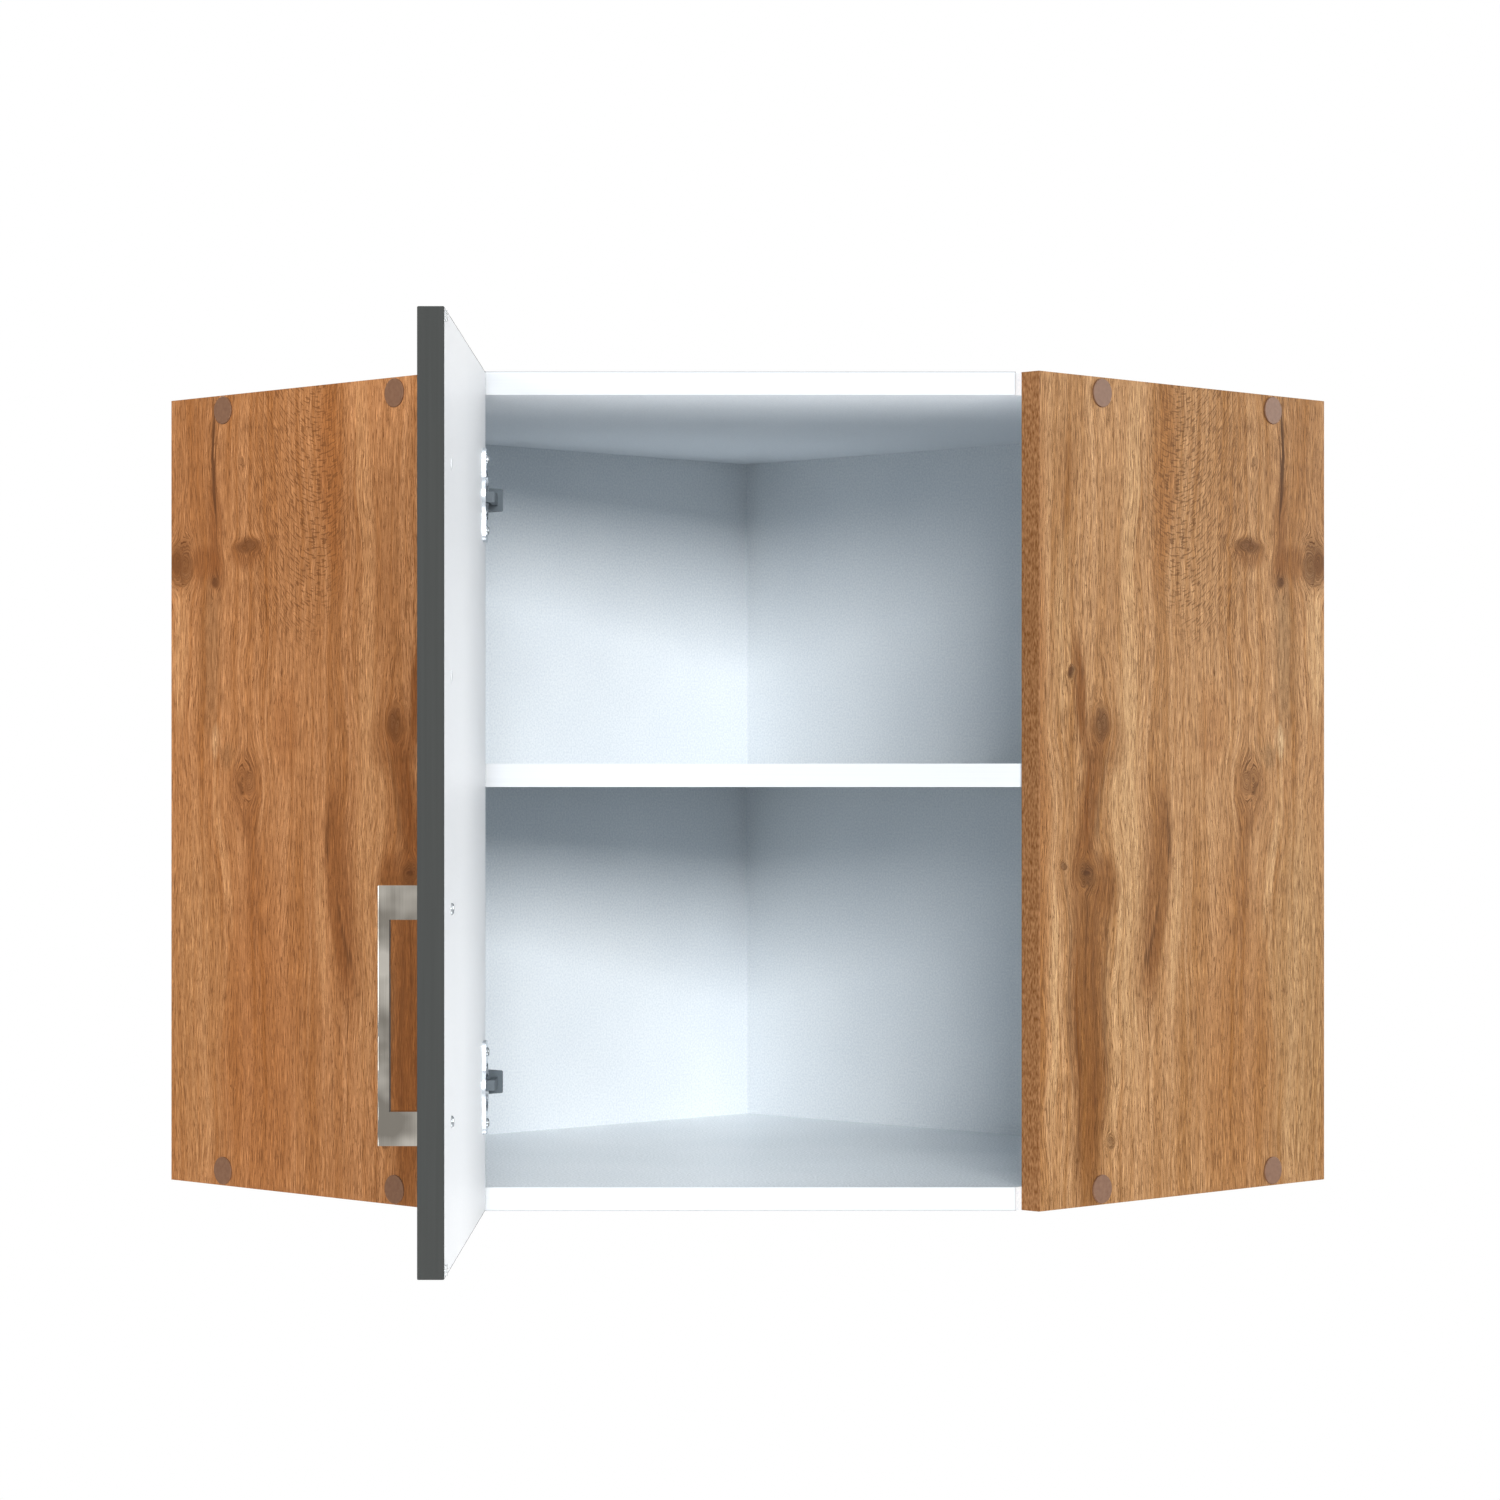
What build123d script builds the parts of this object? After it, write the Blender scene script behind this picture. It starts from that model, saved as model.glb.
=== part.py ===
from build123d import *
import os
from math import sqrt

# Corner wall cabinet, millimetres, Z up. The origin is the room corner at the cabinet's underside:
# the right wall runs along +X, the left wall along -Y, and the diagonal front faces between +X and -Y.

# Carcass
WALL_LENGTH = 600.0
SIDE_DEPTH = 320.0
HEIGHT = 573.0
BOARD = 16.0
FRONT_PROUD = 4.8
EDGE_BAND = 1.0
SIDE_EASE = 0.5

# Loose shelf
SHELF_BOARD = 16.0
SHELF_RISE = 10.8
SHELF_SETBACK = 3.0
SHELF_GAP = 1.0
SHELF_PIN_RADIUS = 2.5
SHELF_PIN_SUNK = 9.0
SHELF_PIN_OUT = 10.0
SHELF_PIN_INSET = 60.0
SHELF_PIN_FROM_SIDE = 255.0
SHELF_PIN_SEAT = 0.05

# Carcass screws, their cover caps and the dowels beside them
SCREW_FROM_FRONT = 66.0
SCREW_FROM_REAR = 62.0
SCREW_HEAD_RADIUS = 4.8
SCREW_HEAD = 4.0
SCREW_SHANK_RADIUS = 3.4
SCREW_THREAD_RADIUS = 2.8
SCREW_LENGTH = 50.0
CAP_RADIUS = 10.0
CAP_THICK = 1.2
CAP_ROUND = 0.5
CAP_FROM_EDGE = 10.8
DOWEL_FROM_FRONT = 30.0
DOWEL_RADIUS = 4.0
DOWEL_IN_SIDE = 10.0
DOWEL_IN_END = 20.0

# Back screws
BACK_SCREW_INSET = 100.0
BACK_SCREW_RADIUS = 2.0
BACK_SCREW_HEAD_RADIUS = 4.0
BACK_SCREW_HEAD = 2.4
BACK_SCREW_LENGTH = 45.0
CORNER_SCREW_INSET = 100.0

# Keyhole plates let into the backs
HANGER_INSET = 60.0
HANGER_DROP = 52.0
HANGER_WIDTH = 36.0
HANGER_TALL = 64.0
HANGER_THICK = 2.0
HANGER_ROUND = 4.0
KEYHOLE_RADIUS = 5.0
KEYHOLE_SLOT = 5.2
KEYHOLE_RISE = 13.0
HANGER_POCKET_DEPTH = 8.0
HANGER_POCKET_EDGE = 2.5
HANGER_SCREW_SPREAD = 25.0
HANGER_SCREW_RADIUS = 1.6
HANGER_SCREW_HEAD_RADIUS = 3.3
HANGER_SCREW_LENGTH = 12.0

# Door
DOOR_BOARD = 16.0
DOOR_REVEAL = 0.5
DOOR_SIDE_INSET = 4.0
DOOR_CLEAR = 0.5
DOOR_OPEN = 90.0
DOOR_EASE = 0.8
BUMPER_RADIUS = 3.5
BUMPER_THICK = 1.4
BUMPER_INSET = 7.0
BUMPER_FROM_TOP = 5.0

# Handle on the outer face of the door
HANDLE_PAST_SCREW = 14.25
HANDLE_LEG = 20.6
HANDLE_STAND = 28.0
HANDLE_BAR = 7.0
HANDLE_WIDTH = 11.0
HANDLE_EASE = 0.8
HANDLE_SPAN = 128.0
HANDLE_FROM_EDGE = 60.0
HANDLE_RISE = 88.6
HANDLE_SCREW_RADIUS = 2.0
HANDLE_SCREW_BITE = 9.0
HANDLE_SCREW_HEAD_RADIUS = 3.7
HANDLE_SCREW_HEAD = 1.6
PLUG_RADIUS = 2.5
PLUG_DEPTH = 9.0
PLUG_HEAD_RADIUS = 3.6
PLUG_HEAD = 0.5

# Cup hinges, one pin each, at the left edge of the door
HINGE_FROM_END = 86.5
PIN_RADIUS = 1.2
CUP_RADIUS = 17.5
CUP_FROM_EDGE = 3.0
CUP_WALL = 0.8
CUP_FIT = 0.1
CHEEK_GAP = 0.4
CHEEK_THICK = 3.5
CHEEK_REACH = 4.0
CHEEK_DROP = 2.0
FLANGE_PAST_SCREW = 7.5
FLANGE_WIDTH = 21.0
FLANGE_SHIFT = 3.0
FLANGE_THICK = 2.4
FLANGE_RIM = 0.5
FLANGE_ROUND = 4.0
CUP_SCREW_SPREAD = 24.0
CUP_SCREW_RADIUS = 1.6
CUP_SCREW_LENGTH = 12.0
CUP_SCREW_HEAD_RADIUS = 3.2
CUP_SCREW_HEAD = 1.6
SPRING_THICK = 0.5
SPRING_WIDTH = 7.0
SPRING_RISE = 8.0
EYE_RADIUS = 2.2
EYE_CLEAR = 0.48
EYE_TALL = 7.0
NECK_BACK = 1.8
ARM_CLEAR = 0.6
LEG_GAP = 0.6
LEG_WIDTH = 4.0
ARM_START = 0.6
ARM_LENGTH = 62.0
ARM_TALL = 15.6
ARM_LOW = 5.0
ARM_HIGH = 25.8
ARM_WALL = 1.5
ARM_NOSE = 14.0
ARM_ROUND = 1.2

# Hinge plates on the left side and their screws
PLATE_START = 20.0
PLATE_LENGTH = 40.0
PLATE_TALL = 52.0
PLATE_BASE = 2.0
PLATE_ROUND = 4.0
PEDESTAL_FIT = 0.1
PLATE_SCREW_SPREAD = 17.0
PLATE_SCREW_RADIUS = 2.0
PLATE_SCREW_LENGTH = 12.0
PLATE_SCREW_HEAD_RADIUS = 3.6
PLATE_SCREW_HEAD = 2.0
ARM_SCREW_PLACES = (28.0, 48.0)
ARM_SCREW_RADIUS = 2.2
ARM_SCREW_HEAD_RADIUS = 3.8
ARM_SCREW_HEAD = 2.2

# Fits
RUN_FIT = 0.05
SCREW_FIT = 0.02
HOLE_CLEAR = 0.2
DRILL_GAP = 0.5

# Worked out from the sizes above
inner = WALL_LENGTH - BOARD
front_half = (WALL_LENGTH - SIDE_DEPTH) / sqrt(2)
front_middle = (WALL_LENGTH + SIDE_DEPTH) / 2
inner_corner = BOARD / sqrt(2)
mid_height = HEIGHT / 2
shelf_low = mid_height + SHELF_RISE - SHELF_BOARD / 2
board_levels = (BOARD / 2, HEIGHT - BOARD / 2)
screw_runs = (SIDE_DEPTH - SCREW_FROM_FRONT, SCREW_FROM_REAR)
dowel_runs = (SIDE_DEPTH - DOWEL_FROM_FRONT, SIDE_DEPTH / 2)
back_screw_runs = (BACK_SCREW_INSET, WALL_LENGTH / 2, WALL_LENGTH - BACK_SCREW_INSET)
hanger_runs = (HANGER_INSET, WALL_LENGTH - HANGER_INSET)
cap_levels = (CAP_FROM_EDGE, HEIGHT - CAP_FROM_EDGE)
door_half = front_half - DOOR_SIDE_INSET
door_width = 2 * door_half
door_back = DOOR_SIDE_INSET - DOOR_CLEAR * sqrt(2)
cup_centre = CUP_FROM_EDGE + CUP_RADIUS
cup_inside = CUP_RADIUS - CUP_WALL
eye_space = cup_centre - sqrt(cup_inside**2 - (EYE_TALL / 2) ** 2)
pin_from_edge = eye_space + EYE_CLEAR + EYE_RADIUS
pin_depth = DOOR_BOARD / 2
pin_x = -door_half + pin_from_edge
pin_y = door_back - pin_depth
cup_depth = pin_depth + EYE_RADIUS + ARM_CLEAR + SPRING_THICK + CUP_WALL
flange_tall = 2 * (CUP_SCREW_SPREAD + FLANGE_PAST_SCREW)
hinge_levels = {"top": HEIGHT - HINGE_FROM_END, "bottom": HINGE_FROM_END}
handle_u = door_width - HANDLE_FROM_EDGE
handle_length = HANDLE_SPAN + 2 * HANDLE_PAST_SCREW
handle_screw_levels = (HANDLE_RISE, HANDLE_RISE + HANDLE_SPAN)
handle_middle = HANDLE_RISE + HANDLE_SPAN / 2
leg_in = pin_depth + FLANGE_THICK + LEG_GAP
leg_out = leg_in + LEG_WIDTH

# Seen from the front: x to the right, y into the cabinet from the line of the outer front corners
front = Location((front_middle, -front_middle, 0), (0, 0, 45))

# On the door: x from the hinge edge, y out of its inner face, before it is swung open about its pins
swing = Pos(pin_from_edge, -pin_depth) * Rot(0, 0, -DOOR_OPEN) * Pos(-pin_from_edge, pin_depth)
on_door = front * Pos(-door_half, door_back) * swing


def block(low, high):
    size = [b - a for a, b in zip(low, high)]
    return Pos(*low) * Box(*size, align=(Align.MIN, Align.MIN, Align.MIN))


def rod(start, way, radius, length):
    return Plane(start, z_dir=way) * Cylinder(radius, length, align=(Align.CENTER, Align.CENTER, Align.MIN))


def cone(start, way, radius, tip_radius, length):
    shape = Cone(radius, tip_radius, length, align=(Align.CENTER, Align.CENTER, Align.MIN))
    return Plane(start, z_dir=way) * shape


def prism(points, low, high):
    face = make_face(Polyline(*points, close=True).edges())
    return Pos(0, 0, low) * extrude(face, high - low)


def along(start, way, distance):
    return tuple(s + w * distance for s, w in zip(start, way))


def minus(shape, cutters):
    for cutter in cutters:
        shape = shape - cutter
    return shape


def eased(shape, axis, radius):
    return fillet(shape.edges().filter_by(axis), radius)


def write(name, *solids):
    shape = solids[0] if len(solids) == 1 else Compound(children=list(solids))
    export_step(shape, f"parts/{name}.step")


def countersunk(start, way, radius, head_radius, head, length):
    return cone(start, way, head_radius, radius, head) + rod(start, way, radius, length)


def pan_head(seat, way, radius, head_radius, head, length):
    back = tuple(-w for w in way)
    return rod(seat, way, radius, length) + rod(seat, back, head_radius, head)


# Plan of a five-sided board, from its gap to the boards round it and the place of its front edge
def five_sided(gap, front_line):
    reach = inner - gap
    rear = BOARD + gap
    cut = 2 * front_middle - front_line * sqrt(2) - reach
    return [(rear, -rear), (reach, -rear), (reach, -cut), (cut, -reach), (rear, -reach)]


os.makedirs("parts", exist_ok=True)

# Screws through the sides into the ends of the top and bottom, left and then right
side_screws = {"left": [], "right": []}
side_screw_holes = {"left": [], "right": []}
end_screw_holes = []
caps = {"left": [], "right": []}
for level, cap_level in zip(board_levels, cap_levels):
    for run in screw_runs:
        for side, start, cap_start, way in (
            ("left", (run, -WALL_LENGTH, level), (run, -WALL_LENGTH, cap_level), (0, 1, 0)),
            ("right", (WALL_LENGTH, -run, level), (WALL_LENGTH, -run, cap_level), (-1, 0, 0)),
        ):
            seat = along(start, way, SCREW_HEAD)
            joint = along(start, way, BOARD)
            thread = SCREW_LENGTH - BOARD
            side_screws[side].append(
                rod(start, way, SCREW_HEAD_RADIUS, SCREW_HEAD)
                + rod(seat, way, SCREW_SHANK_RADIUS, BOARD - SCREW_HEAD)
                + rod(joint, way, SCREW_THREAD_RADIUS, thread)
            )
            side_screw_holes[side].append(rod(start, way, SCREW_HEAD_RADIUS + HOLE_CLEAR, SCREW_HEAD))
            side_screw_holes[side].append(rod(start, way, SCREW_SHANK_RADIUS + SCREW_FIT, BOARD))
            end_screw_holes.append(rod(joint, way, SCREW_THREAD_RADIUS + SCREW_FIT, thread + DRILL_GAP))
            out = tuple(-w for w in way)
            cap = rod(cap_start, out, CAP_RADIUS, CAP_THICK)
            rim = cap.edges().group_by(Axis(cap_start, out))[-1]
            caps[side].append(fillet(rim, CAP_ROUND))

# Dowels between the sides and the ends of the top and bottom
dowels = []
dowel_holes = []
for level in board_levels:
    for run in dowel_runs:
        for joint, way in (((run, -inner, level), (0, 1, 0)), ((inner, -run, level), (-1, 0, 0))):
            length = DOWEL_IN_SIDE + DOWEL_IN_END
            start = along(joint, way, -DOWEL_IN_SIDE)
            dowels.append(rod(start, way, DOWEL_RADIUS, length))
            hole_start = along(start, way, -DRILL_GAP)
            dowel_holes.append(rod(hole_start, way, DOWEL_RADIUS + SCREW_FIT, length + 2 * DRILL_GAP))

# Screws from the wall side through the backs into the top and bottom, and at the rear corner
back_screws = {"left": [], "right": [], "corner": []}
back_holes = []
back_starts = []
for level in board_levels:
    for run in back_screw_runs:
        back_starts.append(("left", (0, -run, level), (1, 0, 0)))
        back_starts.append(("right", (run, 0, level), (0, -1, 0)))
for level in (CORNER_SCREW_INSET, mid_height, HEIGHT - CORNER_SCREW_INSET):
    back_starts.append(("corner", (BOARD / 2, 0, level), (0, -1, 0)))
for side, start, way in back_starts:
    screw_sizes = (BACK_SCREW_RADIUS, BACK_SCREW_HEAD_RADIUS, BACK_SCREW_HEAD, BACK_SCREW_LENGTH)
    hole_sizes = (
        BACK_SCREW_RADIUS + SCREW_FIT,
        BACK_SCREW_HEAD_RADIUS + SCREW_FIT,
        BACK_SCREW_HEAD + SCREW_FIT,
        BACK_SCREW_LENGTH + DRILL_GAP,
    )
    back_screws[side].append(countersunk(start, way, *screw_sizes))
    back_holes.append(countersunk(start, way, *hole_sizes))

hanger_screw_levels = (-HANGER_SCREW_SPREAD, HANGER_SCREW_SPREAD)


# Keyhole plates: made standing at the right wall, then turned onto each wall
def hanger_blank(fit):
    wide = HANGER_WIDTH / 2 + fit
    tall = HANGER_TALL / 2 + fit
    return eased(block((-wide, -HANGER_THICK, -tall), (wide, 0, tall)), Axis.Y, HANGER_ROUND)


def hanger_plate():
    plate = hanger_blank(0)
    round_hole = rod((0, 0, 0), (0, -1, 0), KEYHOLE_RADIUS, HANGER_THICK)
    slot = block((-KEYHOLE_SLOT / 2, -HANGER_THICK, 0), (KEYHOLE_SLOT / 2, 0, KEYHOLE_RISE))
    slot_end = rod((0, 0, KEYHOLE_RISE), (0, -1, 0), KEYHOLE_SLOT / 2, HANGER_THICK)
    holes = [hanger_screw(level, SCREW_FIT) for level in hanger_screw_levels]
    return minus(plate, [round_hole, slot, slot_end] + holes)


def hanger_screw(level, fit):
    sizes = (HANGER_SCREW_RADIUS + fit, HANGER_SCREW_HEAD_RADIUS + fit, HANGER_THICK)
    return countersunk((0, 0, level), (0, -1, 0), *sizes, HANGER_SCREW_LENGTH + fit)


def hanger_recess():
    half = KEYHOLE_RADIUS + HANGER_POCKET_EDGE
    depth = HANGER_THICK + HANGER_POCKET_DEPTH
    pocket = block((-half, -depth, -half), (half, 0, KEYHOLE_RISE + half))
    holes = [hanger_screw(level, SCREW_FIT) for level in hanger_screw_levels]
    return [hanger_blank(SCREW_FIT), pocket] + holes


hangers = {"left": [], "right": []}
hanger_screws = []
hanger_cuts = {"left": [], "right": []}
for run in hanger_runs:
    level = HEIGHT - HANGER_DROP
    for side, spot in (
        ("left", Pos(0, -run, level) * Rot(0, 0, 90)),
        ("right", Pos(run, 0, level)),
    ):
        hangers[side].append(spot * hanger_plate())
        hanger_cuts[side] += [spot * cutter for cutter in hanger_recess()]
        hanger_screws += [spot * hanger_screw(z, 0) for z in hanger_screw_levels]

# Pins under the shelf, in the sides and in the backs
shelf_pins = []
shelf_pin_holes = []
pin_level = shelf_low - SHELF_PIN_RADIUS - SHELF_PIN_SEAT
pin_places = []
for run in (SHELF_PIN_INSET, SIDE_DEPTH - SHELF_PIN_INSET):
    pin_places.append(((run, -inner, pin_level), (0, 1, 0)))
    pin_places.append(((inner, -run, pin_level), (-1, 0, 0)))
back_run = WALL_LENGTH - SHELF_PIN_FROM_SIDE
pin_places.append(((BOARD, -back_run, pin_level), (1, 0, 0)))
pin_places.append(((back_run, -BOARD, pin_level), (0, -1, 0)))
for face, way in pin_places:
    start = along(face, way, -SHELF_PIN_SUNK)
    shelf_pins.append(rod(start, way, SHELF_PIN_RADIUS, SHELF_PIN_SUNK + SHELF_PIN_OUT))
    shelf_pin_holes.append(rod(start, way, SHELF_PIN_RADIUS + SCREW_FIT, SHELF_PIN_SUNK))

# Hinge plates and their screws on the inner face of the left side
plates = {}
plate_screws = []
plate_screw_holes = []
arm_screws = []
arm_screw_holes = []
for end, level in hinge_levels.items():
    near = SIDE_DEPTH - PLATE_START
    far = near - PLATE_LENGTH
    base = block((far, -inner, level - PLATE_TALL / 2), (near, -inner + PLATE_BASE, level + PLATE_TALL / 2))
    base = eased(base, Axis.Y, PLATE_ROUND)
    under_web = -inner + ARM_HIGH - ARM_WALL
    pedestal_half = ARM_TALL / 2 - ARM_WALL - PEDESTAL_FIT
    pedestal = block((far, -inner, level - pedestal_half), (near, under_web, level + pedestal_half))
    plate = base + pedestal
    for shift in (-PLATE_SCREW_SPREAD, PLATE_SCREW_SPREAD):
        seat = ((near + far) / 2, -inner + PLATE_BASE, level + shift)
        head = (PLATE_SCREW_HEAD_RADIUS, PLATE_SCREW_HEAD)
        plate_screws.append(pan_head(seat, (0, -1, 0), PLATE_SCREW_RADIUS, *head, PLATE_SCREW_LENGTH))
        hole = rod(seat, (0, -1, 0), PLATE_SCREW_RADIUS + SCREW_FIT, PLATE_SCREW_LENGTH + DRILL_GAP)
        plate_screw_holes.append(hole)
        plate = plate - hole
    for place in ARM_SCREW_PLACES:
        seat = (SIDE_DEPTH - place, -inner + ARM_HIGH, level)
        length = ARM_HIGH - PLATE_BASE
        head = (ARM_SCREW_HEAD_RADIUS, ARM_SCREW_HEAD)
        arm_screws.append(pan_head(seat, (0, -1, 0), ARM_SCREW_RADIUS, *head, length))
        hole = rod(seat, (0, -1, 0), ARM_SCREW_RADIUS + SCREW_FIT, length)
        arm_screw_holes.append(hole)
        plate = plate - hole
    plates[end] = plate
    write(f"hinge_plate_{end}", plate)
write("hinge_plate_screws", *plate_screws)
write("hinge_arm_screws", *arm_screws)

# Sides
left_side = block((0, -WALL_LENGTH, 0), (SIDE_DEPTH, -inner, HEIGHT))
right_side = block((inner, -SIDE_DEPTH, 0), (WALL_LENGTH, 0, HEIGHT))
side_holes = dowel_holes + shelf_pin_holes
left_side = fillet(left_side.edges().filter_by(Axis.Z).group_by(Axis.X)[-1], SIDE_EASE)
right_side = fillet(right_side.edges().filter_by(Axis.Z).group_by(Axis.Y)[0], SIDE_EASE)
left_side = minus(left_side, side_screw_holes["left"] + side_holes + plate_screw_holes)
right_side = minus(right_side, side_screw_holes["right"] + side_holes)
left_front = block((SIDE_DEPTH - EDGE_BAND, -WALL_LENGTH, 0), (SIDE_DEPTH, -inner, HEIGHT))
right_front = block((inner, -SIDE_DEPTH, 0), (WALL_LENGTH, -SIDE_DEPTH + EDGE_BAND, HEIGHT))
write("side_panel_left", left_side - left_front)
write("side_edge_left", left_side & left_front)
write("side_panel_right", right_side - right_front)
write("side_edge_right", right_side & right_front)
for side in ("left", "right"):
    write(f"carcass_screws_{side}", *side_screws[side])
    write(f"screw_caps_{side}", *caps[side])
write("dowels", *dowels)

# Backs: the right one runs into the room corner, and the left one butts against it
right_back = block((0, -BOARD, 0), (inner, 0, HEIGHT))
left_back = block((0, -inner, 0), (BOARD, -BOARD, HEIGHT))
write("back_panel_right", minus(right_back, back_holes + hanger_cuts["right"] + shelf_pin_holes))
write("back_panel_left", minus(left_back, back_holes + hanger_cuts["left"] + shelf_pin_holes))
write("back_screws_left", *back_screws["left"])
write("back_screws_right", *back_screws["right"])
write("corner_screws", *back_screws["corner"])
write("hanger_plates_left", *hangers["left"])
write("hanger_plates_right", *hangers["right"])
write("hanger_screws", *hanger_screws)

# Top, bottom and loose shelf
end_holes = end_screw_holes + dowel_holes + back_holes
proud_line = inner_corner - FRONT_PROUD
shelf_line = inner_corner + SHELF_SETBACK
for name, gap, line, low, thick, holes in (
    ("bottom", 0, proud_line, 0, BOARD, end_holes),
    ("top", 0, proud_line, HEIGHT - BOARD, BOARD, end_holes),
    ("shelf", SHELF_GAP, shelf_line, shelf_low, SHELF_BOARD, []),
):
    board = prism(five_sided(gap, line), low, low + thick)
    core = prism(five_sided(gap, line + EDGE_BAND), low, low + thick)
    write(f"{name}_edge", board - core)
    write("shelf" if name == "shelf" else f"{name}_panel", minus(core, holes))
write("shelf_pins", *shelf_pins)

# Door board with its cup bores and the holes for the handle, the plugs and the cup screws
door_low = DOOR_REVEAL
door_high = HEIGHT - DOOR_REVEAL
whole_door = block((0, -DOOR_BOARD, door_low), (door_width, 0, door_high))
whole_door = fillet(whole_door.edges(), DOOR_EASE)
core_end = door_width - EDGE_BAND
core_low = door_low + EDGE_BAND
core_high = door_high - EDGE_BAND
door = block((EDGE_BAND, -DOOR_BOARD, core_low), (core_end, 0, core_high))
inward = (0, -1, 0)
cup_screw_u = cup_centre + FLANGE_SHIFT
for level in hinge_levels.values():
    door = door - rod((cup_centre, 0, level), inward, CUP_RADIUS + CUP_FIT, cup_depth + CUP_FIT)
    for shift in (-CUP_SCREW_SPREAD, CUP_SCREW_SPREAD):
        hole_depth = CUP_SCREW_LENGTH - FLANGE_THICK + DRILL_GAP
        door = door - rod((cup_screw_u, 0, level + shift), inward, CUP_SCREW_RADIUS + SCREW_FIT, hole_depth)
for level in handle_screw_levels:
    door = door - rod((handle_u, 0, level), inward, HANDLE_SCREW_RADIUS + SCREW_FIT, DOOR_BOARD)
    door = door - rod((handle_u, 0, HEIGHT - level), inward, PLUG_RADIUS + SCREW_FIT, PLUG_DEPTH + DRILL_GAP)
write("door_panel", on_door * door)

# Edge bands round the door: the two upright ones run the full height
bands = []
for low, high in (
    ((0, -DOOR_BOARD, door_low), (EDGE_BAND, 0, door_high)),
    ((core_end, -DOOR_BOARD, door_low), (door_width, 0, door_high)),
    ((EDGE_BAND, -DOOR_BOARD, door_low), (core_end, 0, core_low)),
    ((EDGE_BAND, -DOOR_BOARD, core_high), (core_end, 0, door_high)),
):
    bands.append(on_door * (whole_door & block(low, high)))
write("door_edges", *bands)

# Handle, its screws, the plugs of the other hand and the bumper pads
grip_low = handle_middle - handle_length / 2
grip_high = handle_middle + handle_length / 2
grip_out = -DOOR_BOARD - HANDLE_STAND
handle = block(
    (handle_u - HANDLE_WIDTH / 2, grip_out, grip_low),
    (handle_u + HANDLE_WIDTH / 2, -DOOR_BOARD, grip_high),
)
handle = handle - block(
    (handle_u - HANDLE_WIDTH / 2, grip_out + HANDLE_BAR, grip_low + HANDLE_LEG),
    (handle_u + HANDLE_WIDTH / 2, -DOOR_BOARD, grip_high - HANDLE_LEG),
)
handle = fillet(handle.edges().group_by(Axis.Y)[0], HANDLE_EASE)
for level in handle_screw_levels:
    thread = HANDLE_SCREW_BITE + DRILL_GAP
    handle = handle - rod((handle_u, -DOOR_BOARD, level), inward, HANDLE_SCREW_RADIUS + SCREW_FIT, thread)
write("handle", on_door * handle)
handle_screws = []
plugs = []
for level in handle_screw_levels:
    head = (HANDLE_SCREW_HEAD_RADIUS, HANDLE_SCREW_HEAD)
    length = DOOR_BOARD + HANDLE_SCREW_BITE
    handle_screws.append(on_door * pan_head((handle_u, 0, level), inward, HANDLE_SCREW_RADIUS, *head, length))
    head = (PLUG_HEAD_RADIUS, PLUG_HEAD)
    plugs.append(on_door * pan_head((handle_u, 0, HEIGHT - level), inward, PLUG_RADIUS, *head, PLUG_DEPTH))
write("handle_screws", *handle_screws)
write("hole_plugs", *plugs)
bumpers = []
for level in (door_low + BUMPER_FROM_TOP, door_high - BUMPER_FROM_TOP):
    pad = rod((door_width - BUMPER_INSET, 0, level), (0, 1, 0), BUMPER_RADIUS, BUMPER_THICK)
    bumpers.append(on_door * fillet(pad.edges().group_by(Axis.Y)[-1], BUMPER_THICK / 3))
write("door_bumpers", *bumpers)

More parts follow.
